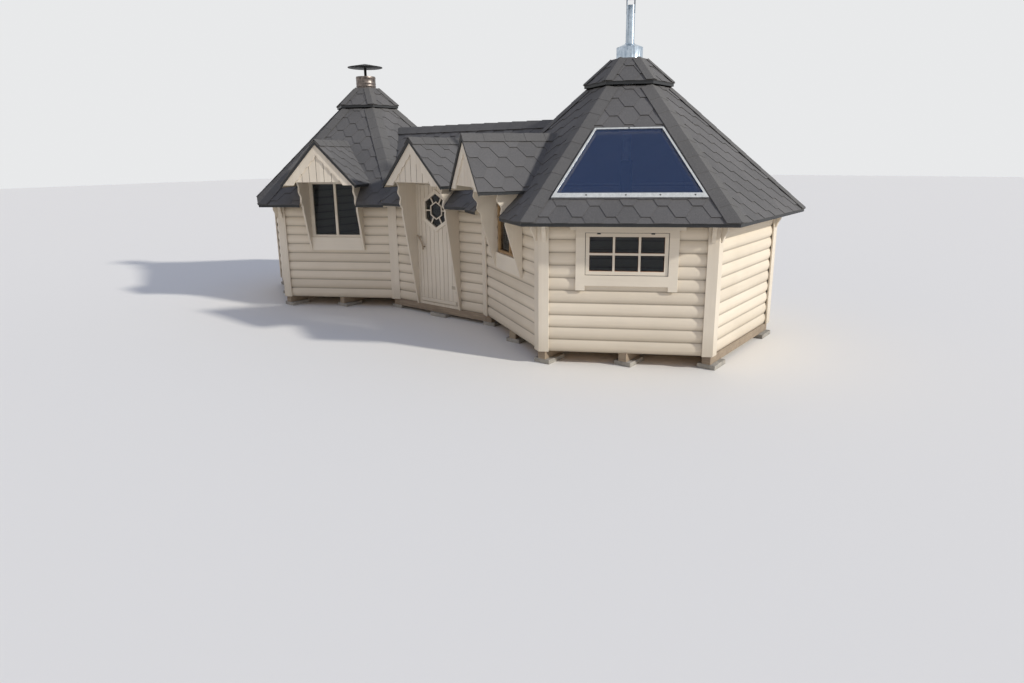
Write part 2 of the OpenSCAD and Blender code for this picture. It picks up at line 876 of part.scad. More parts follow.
// Flue with a rain hat on two straps. Inside the hut it ends in a wider pipe with a smoke hood.
module flue() {
    low = wall_top + damper_up;
    brim = foot + hood_z;
    high = cap_top_z + flue_h;
    brim_z = high + flue_hat_up;
    color("silver") translate([hub, 0, 0]) {
        for (s = [-1, 1])
            translate([s * (flue_d / 2 + 1) - 2, -hat_strap_w / 2, high - hat_strap_in])
                cube([4, hat_strap_w, hat_strap_in + flue_hat_up + 4]);
        difference() {
            translate([0, 0, low - 10]) cylinder(h = high - low + 10, d = flue_d, $fn = 64);
            translate([0, 0, low - 11]) cylinder(h = high - low + 12, d = flue_d - 2 * sheet_t, $fn = 64);
        }
        rotate_extrude($fn = 64) polygon([
            [flue_d / 2 - sheet_t, low], [flue_d / 2 - sheet_t, low - 6], [damper_d / 2 - sheet_t, low - 6],
            [damper_d / 2 - sheet_t, brim + hood_d / 3], [hood_d / 2 - sheet_t, brim + 30],
            [hood_d / 2 - sheet_t, brim], [hood_d / 2, brim], [hood_d / 2, brim + 30 + sheet_t],
            [damper_d / 2, brim + hood_d / 3 + sheet_t], [damper_d / 2, low]]);
        translate([0, 0, brim_z]) rotate_extrude($fn = 64) polygon([
            [0, 0], [flue_hat_d / 2, 0], [flue_hat_d / 2, 6], [0, flue_hat_d / 4]]);
    }
}

module left_dormer_front() {
    color("wheat") on_wall(-hub, 300, ap) dormer_front(window_out, foot + bay_sill_h, hut_roof_top, hut_pitch);
}

module door_dormer_front() {
    color("wheat") on_wall(0, 270, side / 2) dormer_front(door_out, foot, link_roof_top, link_pitch);
}

module right_dormer_front() {
    color("wheat") on_wall(hub, 240, ap) dormer_front(window_out, foot + bay_sill_h, hut_roof_top, hut_pitch);
}

module left_dormer_roof() {
    color("dimgray") difference() {
        on_wall(-hub, 300, ap) dormer_roof_panels(window_out, ap);
        translate([-hub, 0, 0]) hut_mass();
    }
}

module door_dormer_roof() {
    color("dimgray") difference() {
        on_wall(0, 270, side / 2) dormer_roof_panels(door_out, side / 2);
        link_mass(0);
    }
}

module right_dormer_roof() {
    color("dimgray") difference() {
        on_wall(hub, 240, ap) dormer_roof_panels(window_out, ap);
        translate([hub, 0, 0]) hut_mass();
    }
}

module left_bay_window() {
    color("saddlebrown") on_wall(-hub, 300, ap) bay_window();
}

module right_bay_window() {
    color("saddlebrown") on_wall(hub, 240, ap) bay_window();
}

module right_window() {
    color("wheat") on_wall(hub, 300, ap) right_window_frame();
}

module right_window_casing() {
    color("wheat") on_wall(hub, 300, ap) casing();
}

module window_glass() {
    color("steelblue") {
        on_wall(-hub, 300, ap) bay_glass();
        on_wall(hub, 240, ap) bay_glass();
        on_wall(hub, 300, ap) translate([0, 0, win_z])
            through_wall(groove, groove + glass_t) pane_grid(win_w, win_h, fit);
    }
}

module roof_window_frame() {
    color("silver") on_hut_roof(hub, 300) difference() {
        linear_extrude(rail_h) skylight_view(0, 0);
        translate([0, 0, -1]) linear_extrude(rail_h + 2) skylight_view(rail_w, low_rail_w);
    }
}

module roof_window_pane() {
    color("midnightblue") on_hut_roof(hub, 300) translate([0, 0, rail_h - glass_t - 12])
        linear_extrude(glass_t) skylight_view(rail_w + fit, low_rail_w + fit);
}

module door_frame() {
    color("wheat") on_wall(0, 270, side / 2) {
        for (s = [-1, 1]) translate([s * (bay_half - jamb_w / 2) - jamb_w / 2, 0, foot])
            cube([jamb_w, log_t, soffit_z - foot]);
        translate([-bay_half, 0, soffit_z - jamb_w]) cube([2 * bay_half, log_t, jamb_w]);
        translate([-bay_half, 0, foot]) cube([2 * bay_half, log_t, sill_t]);
    }
}

module on_hinge(z) {
    on_wall(0, 270, side / 2) translate([hinge_x, -hinge_out, z]) children();
}

// Pins with a strap on the jamb, one below each knuckle of the leaf.
module hinge_pins() {
    h = knuckle_h + 2;
    color("dimgray") for (k = hinge_heights) on_hinge(leaf_z + leaf_h * k) {
        translate([0, 0, -h]) cylinder(h = h, d = knuckle_d, $fn = 48);
        translate([0, 0, -1]) cylinder(h = h, d = pin_d, $fn = 48);
        translate([0, hinge_out - 4, -h]) cube([jamb_w - 6, 4, h]);
        translate([0, -5, -h]) cube([8, hinge_out + 5, h]);
    }
}

// Knuckles of the leaf, each with its strap on the face of the door.
module door_knuckles() {
    h = knuckle_h;
    strap = hinge_x - (door_win_r + door_trim_w) * cos(30) - strap_gap;
    color("dimgray") for (k = hinge_heights) on_hinge(leaf_z + leaf_h * k) difference() {
        union() {
            translate([0, 0, 1]) cylinder(h = h, d = knuckle_d, $fn = 48);
            translate([-strap, hinge_out - 5, 1]) cube([strap - leaf_gap / 2 - 4, 5 - fit, h]);
            translate([-14, -2, 1]) cube([12, hinge_out + 2 - fit, h]);
        }
        cylinder(h = 3 * h, d = pin_d + 1, center = true, $fn = 48);
    }
}

// Glazing bars of the door window: a smaller hexagon and a spoke to each outer side.
module door_bars() {
    r = door_win_r / 2;
    difference() {
        rotate(90) circle(r = r + door_bar_w / 2, $fn = 6);
        rotate(90) circle(r = r - door_bar_w / 2, $fn = 6);
    }
    for (a = [0 : 60 : 300])
        rotate(a) translate([r * cos(30), -door_bar_w / 2]) square([(door_win_r - r) * cos(30) + 1, door_bar_w]);
}

module door_leaf() {
    color("wheat") on_wall(0, 270, side / 2) {
        difference() {
            translate([-leaf_w / 2, 0, leaf_z]) cube([leaf_w, leaf_t, leaf_h]);
            translate([0, 0, door_win_z]) through_wall(-10, leaf_t + 10)
                rotate(90) circle(r = door_win_r, $fn = 6);
        }
        translate([0, 0, door_win_z]) {
            through_wall(-trim_out, 1) difference() {
                rotate(90) circle(r = door_win_r + door_trim_w, $fn = 6);
                rotate(90) circle(r = door_win_r, $fn = 6);
            }
            through_wall(-4, leaf_t / 2 - glass_t / 2 - fit) door_bars();
        }
        translate([-leaf_w / 2 + foot_rail_in, -trim_out + 1, leaf_z + foot_rail_in])
            cube([leaf_w - 2 * foot_rail_in, trim_out, foot_rail_w]);
    }
}

module door_glass() {
    color("steelblue") on_wall(0, 270, side / 2) translate([0, 0, door_win_z])
        through_wall(leaf_t / 2 - glass_t / 2, leaf_t / 2 + glass_t / 2)
            rotate(90) circle(r = door_win_r - 2 * fit, $fn = 6);
}

// Bowed wooden bar on two pegs, slanted across the free edge of the leaf.
module door_handle() {
    bow = 50;
    gap = 46;
    color("sienna") on_wall(0, 270, side / 2)
        translate([-leaf_w / 2 + 78, 0, foot + handle_z]) rotate([0, -28, 0]) {
            translate([-handle_r, -gap, 0]) rotate([90, 0, 0]) rotate([0, 0, -bow / 2])
                rotate_extrude(angle = bow, $fn = 120) translate([handle_r, 0]) circle(d = handle_d, $fn = 32);
            for (a = [-bow / 3, bow / 3])
                translate([handle_r * (cos(a) - 1), 0, handle_r * sin(a)])
                    rotate([90, 0, 0]) cylinder(h = gap, d = handle_d * 0.6, $fn = 32);
        }
}

foundation_pads();
left_bearers();
link_bearers();
right_bearers();
left_floor();
link_floor();
right_floor();
left_window_wall();
left_front_wall();
left_end_wall();
left_rear_wall();
left_inner_wall();
right_window_wall();
right_bay_wall();
right_end_wall();
right_rear_wall();
right_inner_wall();
link_wall_left();
link_wall_right();
link_back_wall();
link_posts();
left_corner_boards();
right_corner_boards();
left_brackets();
right_brackets();
left_roof();
right_roof();
link_roof();
left_hip_caps();
right_hip_caps();
link_ridge_cap();
left_vent_cap();
right_vent_cap();
left_sleeve();
right_sleeve();
chimney_hat();
flue();
left_dormer_front();
door_dormer_front();
right_dormer_front();
left_dormer_roof();
door_dormer_roof();
right_dormer_roof();
left_bay_window();
right_bay_window();
right_window();
right_window_casing();
window_glass();
roof_window_frame();
roof_window_pane();
door_frame();
hinge_pins();
door_leaf();
door_glass();
door_handle();
door_knuckles();
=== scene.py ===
"""Two hexagonal log huts joined by a gabled passage: shingles, boards, metalwork, glass and paint round the CAD frame.

Lengths are in metres, in the frame of the CAD model: Z up, X along the passage, and the door on the -Y side.
"""

import logging
import math
from dataclasses import dataclass, field
from enum import Enum
from typing import Any, Callable, ClassVar, NamedTuple, Sequence

import bmesh
import bpy
import numpy as np
from mathutils import Matrix


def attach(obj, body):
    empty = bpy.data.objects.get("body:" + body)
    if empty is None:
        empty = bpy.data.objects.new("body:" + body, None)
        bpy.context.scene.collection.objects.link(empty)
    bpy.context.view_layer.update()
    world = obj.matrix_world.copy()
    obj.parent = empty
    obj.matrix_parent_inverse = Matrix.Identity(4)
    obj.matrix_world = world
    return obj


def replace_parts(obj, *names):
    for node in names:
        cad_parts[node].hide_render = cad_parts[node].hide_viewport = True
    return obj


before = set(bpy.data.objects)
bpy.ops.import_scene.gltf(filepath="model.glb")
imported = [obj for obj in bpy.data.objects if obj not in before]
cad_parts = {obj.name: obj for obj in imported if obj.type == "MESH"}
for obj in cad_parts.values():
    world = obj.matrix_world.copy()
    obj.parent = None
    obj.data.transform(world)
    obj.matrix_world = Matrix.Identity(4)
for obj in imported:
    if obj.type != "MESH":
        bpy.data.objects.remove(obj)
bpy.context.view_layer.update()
log = logging.getLogger("huts")

Array = np.ndarray

COS30 = math.cos(math.pi / 6)
TAN30 = math.tan(math.pi / 6)


# ------------------------------------------------------------------ sizes and places


@dataclass(frozen=True)
class Plan:
    """Sizes of the building that its pieces share, as in the part's source."""

    side: float = 1.8
    hub: float = 2.42
    course: float = 0.135
    foot: float = 0.145
    wall_top: float = 1.765
    board_t: float = 0.020
    hut_pitch: float = math.radians(45)
    link_pitch: float = math.radians(42)
    dormer_pitch: float = math.radians(47)
    eave_out: float = 0.270
    roof_t: float = 0.045
    vent_r: float = 0.486
    cap_r: float = 0.524
    cap_top_r: float = 0.205
    cap_t: float = 0.024
    cap_gap: float = 0.054
    bay_half: float = 0.398
    cheek_t: float = 0.026
    dormer_half: float = 0.545
    dormer_t: float = 0.022
    soffit: float = 1.890
    dormer_ridge: float = 2.433

    @property
    def ap(self) -> float:
        """Distance from a hut's middle to the outside of its walls."""
        return self.side * COS30

    @property
    def eave_q(self) -> float:
        """Distance from a hut's middle to its eaves."""
        return self.ap + self.eave_out

    @property
    def vent_q(self) -> float:
        """Distance from a hut's middle to the edge of the smoke opening."""
        return self.vent_r * COS30

    @property
    def link_eave(self) -> float:
        """Distance of the passage eaves from its ridge, level."""
        return self.side / 2 + self.eave_out

    @property
    def cheek_out(self) -> float:
        """Half the width over the cheeks of a dormer."""
        return self.bay_half + self.cheek_t

    def hut_z(self, q: float) -> float:
        """Height of the top of a hut roof panel at the level distance q from the hut's middle."""
        return self.wall_top + self.roof_t / math.cos(self.hut_pitch) + (self.ap - q) * math.tan(self.hut_pitch)

    def link_z(self, y: float) -> float:
        """Height of the top of a passage roof panel at the level distance y from the ridge."""
        return self.wall_top + self.roof_t / math.cos(self.link_pitch) + (self.side / 2 - y) * math.tan(self.link_pitch)

    def cap_z(self, q: float) -> float:
        """Height of the top of a vent cap at the level distance q from its middle."""
        return self.hut_z(q) + self.cap_gap + self.cap_t / math.cos(self.hut_pitch)

    def dormer_z(self, x: float) -> float:
        """Height of the top of a dormer roof panel at the distance x from its ridge."""
        return self.dormer_ridge - abs(x) * math.tan(self.dormer_pitch)


PLAN = Plan()


def turn(degrees: float) -> Array:
    """Level unit vector at an angle from +X."""
    return np.array([math.cos(math.radians(degrees)), math.sin(math.radians(degrees)), 0.0])


UP = np.array([0.0, 0.0, 1.0])


class HalfSpace(NamedTuple):
    """Side of a plane: a point p is inside where (p - point) . normal is below zero."""

    point: Array
    normal: Array


Mass = tuple[HalfSpace, ...]


@dataclass(frozen=True)
class Place:
    """Flat place on the building: u runs along it, v up it, and n = u x v out of it."""

    origin: Array
    u: Array
    v: Array

    @property
    def n(self) -> Array:
        """Outward direction."""
        return np.cross(self.u, self.v)

    def at(self, local: Array) -> Array:
        """World points for local points whose last axis holds (u, v, n)."""
        local = np.asarray(local, float)
        return self.origin + local @ np.stack([self.u, self.v, self.n])

    def beyond(self, du: float, dv: float, u: float = 0.0, v: float = 0.0, n: float = 0.0,
               dn: float = 0.0) -> HalfSpace:
        """Half space that ends at the local point (u, v, n), with (du, dv, dn) pointing out of it."""
        return HalfSpace(self.at(np.array([u, v, n])), du * self.u + dv * self.v + dn * self.n)

    def shifted(self, u: float = 0.0, v: float = 0.0) -> "Place":
        """The same directions from another local point."""
        return Place(self.at(np.array([u, v, 0.0])), self.u, self.v)


def wall_place(x: float, angle: float, out: float) -> Place:
    """Place on a wall that faces an angle, with its origin on the ground below the wall's middle."""
    return Place(np.array([x, 0.0, 0.0]) + out * turn(angle), turn(angle + 90), UP)


DOOR_WALL = wall_place(0.0, 270, PLAN.side / 2)


def slope_place(x: float, angle: float, q: float, z: float, pitch: float = PLAN.hut_pitch) -> Place:
    """Place on a roof face, with its origin at the middle of the level line at distance q and height z."""
    c, s = math.cos(pitch), math.sin(pitch)
    return Place(np.array([x, 0.0, z]) + q * turn(angle), turn(angle + 90), -c * turn(angle) + s * UP)


def hut_slope(x: float, angle: float) -> Place:
    """Place on a hut roof face, with its origin at the middle of the eave."""
    return slope_place(x, angle, PLAN.eave_q, PLAN.hut_z(PLAN.eave_q))


def link_slope(angle: float) -> Place:
    """Place on a face of the passage roof, with its origin at the middle of the eave."""
    return slope_place(0.0, angle, PLAN.link_eave, PLAN.link_z(PLAN.link_eave), PLAN.link_pitch)


def hut_mass(x: float, lift: float) -> Mass:
    """Solid under a hut roof: six roof faces raised by lift and six upright eaves.

    Args:
        x: the middle of the hut.
        lift: how far the roof faces are raised.

    Returns:
        The mass.
    """
    sides = []
    for angle in range(0, 360, 60):
        sides.append(hut_slope(x, angle).beyond(0, 0, n=lift, dn=1))
        sides.append(HalfSpace(np.array([x, 0.0, 0.0]) + PLAN.eave_q * turn(angle), turn(angle)))
    return tuple(sides)


def link_mass(lift: float) -> Mass:
    """Solid under the passage roof: two roof faces raised by lift, two upright eaves, and an end in each hut.

    Args:
        lift: how far its roof faces are raised.

    Returns:
        The mass.
    """
    sides = [HalfSpace(PLAN.hub * turn(angle), turn(angle)) for angle in (0, 180)]
    for angle in (90, 270):
        sides.append(link_slope(angle).beyond(0, 0, n=lift, dn=1))
        sides.append(HalfSpace(PLAN.link_eave * turn(angle), turn(angle)))
    return tuple(sides)


def gable_mass(wall: Place, half: float, lift: float) -> Mass:
    """Solid under a dormer roof, out to the half width half, with its roof faces raised by lift.

    Args:
        wall: the wall that it stands on.
        half: half its width.
        lift: how far the roof faces are raised.

    Returns:
        The mass.
    """
    c, s = math.cos(PLAN.dormer_pitch), math.sin(PLAN.dormer_pitch)
    top = wall.at(np.array([0, PLAN.dormer_ridge, 0]))
    out = [side * s * wall.u + c * wall.v for side in (-1, 1)]
    roof = tuple(HalfSpace(top + lift * normal, normal) for normal in out)
    return roof + tuple(wall.beyond(side, 0, u=side * half) for side in (-1, 1))


# ------------------------------------------------------------------ materials


def linear(code: str) -> tuple[float, float, float, float]:
    """Linear RGBA for an sRGB hex colour.

    Args:
        code: six hex digits after a hash.

    Returns:
        The colour with an alpha of 1.
    """
    s = [int(code[i:i + 2], 16) / 255 for i in (1, 3, 5)]
    rgb = [c / 12.92 if c <= 0.04045 else ((c + 0.055) / 1.055) ** 2.4 for c in s]
    return rgb[0], rgb[1], rgb[2], 1.0


# Numbers of a Mix node's colour sockets: the two that go in and the one that comes out.
COLOUR_A, COLOUR_B, MIXED = 6, 7, 2


def feed(tree: bpy.types.NodeTree, node: bpy.types.Node, inputs: dict[Any, Any]) -> None:
    """Fills the sockets of a node.

    Args:
        tree: the node tree.
        node: the node.
        inputs: by socket name or number, a value, a hex colour, the output socket to link, or a node for its first one.
    """
    for key, value in inputs.items():
        if isinstance(value, bpy.types.Node):
            value = value.outputs[0]
        if isinstance(value, bpy.types.NodeSocket):
            tree.links.new(value, node.inputs[key])
        else:
            node.inputs[key].default_value = linear(value) if isinstance(value, str) else value


def add(tree: bpy.types.NodeTree, kind: str, inputs: dict[Any, Any] | None = None,
        stops: Sequence[tuple[float, str]] = (), **settings: Any) -> bpy.types.Node:
    """Adds a node.

    Args:
        tree: the node tree.
        kind: the node's type name.
        inputs: what its sockets take, as in feed.
        stops: places and hex colours of a Color Ramp.
        settings: the node's own properties.

    Returns:
        The new node.
    """
    node = tree.nodes.new(kind)
    for key, value in settings.items():
        setattr(node, key, value)
    if stops:
        ramp = node.color_ramp
        while len(ramp.elements) < len(stops):
            ramp.elements.new(0.5)
        for element, (position, code) in zip(ramp.elements, stops):
            element.position = position
            element.color = linear(code)
    feed(tree, node, inputs or {})
    return node


def blank(name: str) -> tuple[bpy.types.Material, bpy.types.NodeTree, bpy.types.Node]:
    """New material with its tree and its Principled shader.

    Args:
        name: its name.

    Returns:
        The material, its node tree and its shader.
    """
    material = bpy.data.materials.new(name)
    material.use_nodes = True
    tree = material.node_tree
    tree.nodes.clear()
    shader = add(tree, "ShaderNodeBsdfPrincipled")
    add(tree, "ShaderNodeOutputMaterial", {"Surface": shader})
    return material, tree, shader


class Grain(Enum):
    """Way the grain of a timber runs: the turns about X, Y and Z, in radians, that put it on X."""

    LEVEL = (0.0, 0.0, 0.0)
    UPRIGHT = (0.0, math.pi / 2, 0.0)


@dataclass(frozen=True)
class PaintedTimber:
    """Planed pine under two brushed coats of beige outdoor paint.

    It has a soft sheen, brush lines and grain that show through, a little grime near the ground, and a shade of its own
    for each log or board.
    """

    name: str
    paint: str
    shade: str
    grain: Grain = Grain.LEVEL
    heading: float = 0.0
    strip: float = PLAN.course
    rough: float = 0.52
    joints: float = 0.0

    def make(self) -> bpy.types.Material:
        """Builds the material. The grain lies along the heading, in degrees, and shades change every strip.

        A joints value above 0 darkens each strip by that much: dirt at its joints, painted shade over its lower third.
        """
        material, tree, shader = blank(self.name)
        where = add(tree, "ShaderNodeTexCoord").outputs["Object"]
        turned = add(tree, "ShaderNodeMapping", {"Vector": where, "Rotation": (0, 0, -math.radians(self.heading))})
        laid = add(tree, "ShaderNodeMapping", {"Vector": turned, "Rotation": self.grain.value})
        # Grain lines about 8 mm apart and 300 mm long, drawn coarse so that they show.
        fibre = add(tree, "ShaderNodeMapping", {"Vector": laid, "Scale": (3.3, 120.0, 120.0)})
        lines = add(tree, "ShaderNodeTexNoise", {"Vector": fibre, "Scale": 1.0, "Detail": 4.0, "Roughness": 0.6})
        brush = add(tree, "ShaderNodeMapping", {"Vector": laid, "Scale": (1.6, 34.0, 34.0)})
        laps = add(tree, "ShaderNodeTexNoise", {"Vector": brush, "Scale": 1.0, "Detail": 3.0})
        level = self.grain is Grain.LEVEL
        split = add(tree, "ShaderNodeSeparateXYZ", {"Vector": where if level else turned})
        across = split.outputs["Z" if level else "X"]
        shifted = add(tree, "ShaderNodeMath", {0: across, 1: -PLAN.foot if level else 0.0}, operation="ADD")
        each = add(tree, "ShaderNodeMath", {0: shifted, 1: self.strip}, operation="DIVIDE")
        number = add(tree, "ShaderNodeMath", {0: each}, operation="FLOOR")
        own = add(tree, "ShaderNodeTexWhiteNoise", {"W": number}, noise_dimensions="1D")
        blotch = add(tree, "ShaderNodeTexNoise", {"Vector": where, "Scale": 1.7, "Detail": 3.0})
        mixed = add(tree, "ShaderNodeMath", {0: own.outputs["Value"], 1: 0.45, 2: blotch.outputs["Fac"]},
                    operation="MULTIPLY_ADD")
        streak = add(tree, "ShaderNodeMath", {0: laps.outputs["Fac"], 1: 0.5, 2: mixed}, operation="MULTIPLY_ADD")
        tone = add(tree, "ShaderNodeMapRange", {"Value": streak, "From Min": 0.65, "From Max": 1.25})
        coat = add(tree, "ShaderNodeMix", {"Factor": tone, COLOUR_A: self.shade, COLOUR_B: self.paint},
                   data_type="RGBA")
        # Splashed grime on the lowest 270 mm of the walls, broken up by the noise.
        height = add(tree, "ShaderNodeSeparateXYZ", {"Vector": where})
        low = add(tree, "ShaderNodeMapRange", {"Value": height.outputs["Z"], "From Min": 0.42, "From Max": 0.12,
                                               "To Max": 0.55})
        grime = add(tree, "ShaderNodeMath", {0: low, 1: laps.outputs["Fac"]}, operation="MULTIPLY")
        dirt_and_shade = add(tree, "ShaderNodeMix", {"Factor": grime, COLOUR_A: coat.outputs[MIXED], COLOUR_B: "#8d8069"},
                    data_type="RGBA")
        if self.joints:
            # Dust in each log's highest 8 mm and at its foot, and painted shade fading up over its lower third.
            place = add(tree, "ShaderNodeMath", {0: each}, operation="FRACT")
            dust_and_shade = add(tree, "ShaderNodeValToRGB", {"Fac": place}, stops=(
                (0.0, "#ffffff"), (0.04, "#c4c4c4"), (0.15, "#707070"),
                (0.36, "#000000"), (0.94, "#000000"), (0.985, "#e8e8e8")))
            part = add(tree, "ShaderNodeMath", {0: dust_and_shade, 1: self.joints}, operation="MULTIPLY")
            dirt_and_shade = add(tree, "ShaderNodeMix", {"Factor": part, COLOUR_A: dirt_and_shade.outputs[MIXED], COLOUR_B: "#5f5648"},
                        data_type="RGBA")
        # Worn, chalky patches scatter the light a little more.
        dull = add(tree, "ShaderNodeMapRange", {"Value": laps.outputs["Fac"],
                                                "To Min": self.rough - 0.08, "To Max": self.rough + 0.12})
        bump = add(tree, "ShaderNodeBump", {"Height": lines.outputs["Fac"], "Strength": 0.28, "Distance": 0.0016})
        feed(tree, shader, {"Base Color": dirt_and_shade.outputs[MIXED], "Roughness": dull, "Normal": bump})
        return material


@dataclass(frozen=True)
class BitumenShingle:
    """Felt soaked in bitumen with crushed slate pressed in: matt dark grey, speckled, each tab a shade of its own."""

    name: str = "slate_bitumen_shingle"
    dark: str = "#4b4a4a"
    light: str = "#676564"

    def make(self) -> bpy.types.Material:
        """Builds the material. The attribute tone gives each tab's own shade."""
        material, tree, shader = blank(self.name)
        where = add(tree, "ShaderNodeTexCoord").outputs["Object"]
        own = add(tree, "ShaderNodeAttribute", attribute_name="tone")
        # Slate grit is about 1.5 mm; it is drawn at 4 to 5 mm so that it shows.
        grit = add(tree, "ShaderNodeTexVoronoi", {"Vector": where, "Scale": 210.0})
        speck = add(tree, "ShaderNodeTexNoise", {"Vector": where, "Scale": 95.0, "Detail": 3.0, "Roughness": 0.75})
        weather = add(tree, "ShaderNodeTexNoise", {"Vector": where, "Scale": 1.3, "Detail": 4.0, "Roughness": 0.6})
        first = add(tree, "ShaderNodeMath", {0: own.outputs["Fac"], 1: 0.2, 2: speck.outputs["Fac"]},
                    operation="MULTIPLY_ADD")
        both = add(tree, "ShaderNodeMath", {0: weather.outputs["Fac"], 1: 0.5, 2: first}, operation="MULTIPLY_ADD")
        tone = add(tree, "ShaderNodeMapRange", {"Value": both, "From Min": 0.5, "From Max": 1.2})
        felt = add(tree, "ShaderNodeMix", {"Factor": tone, COLOUR_A: self.dark, COLOUR_B: self.light}, data_type="RGBA")
        pick = add(tree, "ShaderNodeMapRange", {"Value": grit.outputs["Color"], "From Min": 0.72, "From Max": 1.0,
                                                "To Max": 0.35})
        stone = add(tree, "ShaderNodeMix", {"Factor": pick, COLOUR_A: felt.outputs[MIXED], COLOUR_B: "#8f8a84"},
                    data_type="RGBA")
        relief = add(tree, "ShaderNodeMath", {0: speck.outputs["Fac"], 1: grit.outputs["Distance"]}, operation="ADD")
        bump = add(tree, "ShaderNodeBump", {"Height": relief, "Strength": 0.55, "Distance": 0.0018})
        feed(tree, shader, {"Base Color": stone.outputs[MIXED], "Roughness": 0.93, "Normal": bump})
        return material


@dataclass(frozen=True)
class SheetMetal:
    """Thin rolled sheet, bare, painted or coated: handling marks and dull rain streaks."""

    name: str
    bright: str
    dull: str
    metallic: float = 1.0
    rough: float = 0.34
    streak: float = 0.16

    def make(self) -> bpy.types.Material:
        """Builds the material, with streaks that run down it."""
        material, tree, shader = blank(self.name)
        where = add(tree, "ShaderNodeTexCoord").outputs["Object"]
        # Rain streaks about 12 mm wide and 200 mm long.
        down = add(tree, "ShaderNodeMapping", {"Vector": where, "Scale": (80.0, 80.0, 5.0)})
        rain = add(tree, "ShaderNodeTexNoise", {"Vector": down, "Scale": 1.0, "Detail": 4.0, "Roughness": 0.65})
        cloud = add(tree, "ShaderNodeTexNoise", {"Vector": where, "Scale": 24.0, "Detail": 3.0})
        both = add(tree, "ShaderNodeMath", {0: cloud.outputs["Fac"], 1: rain.outputs["Fac"]}, operation="MULTIPLY")
        tone = add(tree, "ShaderNodeMapRange", {"Value": both, "From Min": 0.12, "From Max": 0.42})
        skin = add(tree, "ShaderNodeMix", {"Factor": tone, COLOUR_A: self.bright, COLOUR_B: self.dull},
                   data_type="RGBA")
        gloss = add(tree, "ShaderNodeMapRange", {"Value": rain.outputs["Fac"], "From Min": 0.3, "From Max": 0.7,
                                                 "To Min": self.rough, "To Max": self.rough + self.streak})
        bump = add(tree, "ShaderNodeBump", {"Height": cloud.outputs["Fac"], "Strength": 0.12, "Distance": 0.001})
        feed(tree, shader, {"Base Color": skin.outputs[MIXED], "Metallic": self.metallic, "Roughness": gloss,
                            "Normal": bump})
        return material


@dataclass(frozen=True)
class Glazing:
    """Float glass, clear or tinted, washed by rain: a hard reflection with faint dried runs."""

    name: str
    tint: str
    rough: float
    cover: float
    shine: float

    def make(self) -> bpy.types.Material:
        """Builds the material. Dried runs only change the gloss.

        Cover is the share of the light behind the pane that it holds back.
        """
        material, tree, shader = blank(self.name)
        where = add(tree, "ShaderNodeTexCoord").outputs["Object"]
        down = add(tree, "ShaderNodeMapping", {"Vector": where, "Scale": (26.0, 26.0, 4.0)})
        runs = add(tree, "ShaderNodeTexNoise", {"Vector": down, "Scale": 1.0, "Detail": 5.0, "Roughness": 0.7})
        film = add(tree, "ShaderNodeMapRange", {"Value": runs.outputs["Fac"], "From Min": 0.5, "From Max": 0.8,
                                                "To Min": self.rough, "To Max": self.rough + 0.09})
        feed(tree, shader, {"Base Color": self.tint, "Roughness": film, "IOR": 1.5, "Alpha": self.cover,
                            "Specular IOR Level": self.shine})
        return material


@dataclass(frozen=True)
class StainedTimber:
    """Bare or stained softwood: growth rings cut lengthways, drawn about 7 mm apart, with weathered patches."""

    name: str
    early: str
    late: str
    grain: Grain = Grain.LEVEL
    heading: float = 0.0
    rough: float = 0.7

    def make(self) -> bpy.types.Material:
        """Builds the material with its grain along the heading."""
        material, tree, shader = blank(self.name)
        where = add(tree, "ShaderNodeTexCoord").outputs["Object"]
        turned = add(tree, "ShaderNodeMapping", {"Vector": where, "Rotation": (0, 0, -math.radians(self.heading))})
        laid = add(tree, "ShaderNodeMapping", {"Vector": turned, "Rotation": self.grain.value})
        fibre = add(tree, "ShaderNodeMapping", {"Vector": laid, "Scale": (1.2, 16.0, 16.0)})
        bend = add(tree, "ShaderNodeTexNoise", {"Vector": fibre, "Scale": 0.8, "Detail": 2.0})
        rings = add(tree, "ShaderNodeTexWave", {"Vector": fibre, "Scale": 3.0, "Distortion": 5.0, "Detail": 2.0,
                                                "Detail Scale": 1.4}, wave_type="BANDS", bands_direction="Y")
        hair = add(tree, "ShaderNodeMapping", {"Vector": laid, "Scale": (6.0, 260.0, 260.0)})
        fine = add(tree, "ShaderNodeTexNoise", {"Vector": hair, "Scale": 1.0, "Detail": 2.0})
        mixed = add(tree, "ShaderNodeMath", {0: rings.outputs["Fac"], 1: 0.55, 2: bend.outputs["Fac"]},
                    operation="MULTIPLY_ADD")
        more = add(tree, "ShaderNodeMath", {0: fine.outputs["Fac"], 1: 0.35, 2: mixed}, operation="MULTIPLY_ADD")
        tone = add(tree, "ShaderNodeMapRange", {"Value": more, "From Min": 0.45, "From Max": 1.25})
        wood = add(tree, "ShaderNodeMix", {"Factor": tone, COLOUR_A: self.early, COLOUR_B: self.late}, data_type="RGBA")
        bump = add(tree, "ShaderNodeBump", {"Height": more, "Strength": 0.3, "Distance": 0.001})
        feed(tree, shader, {"Base Color": wood.outputs[MIXED], "Roughness": self.rough, "Normal": bump})
        return material


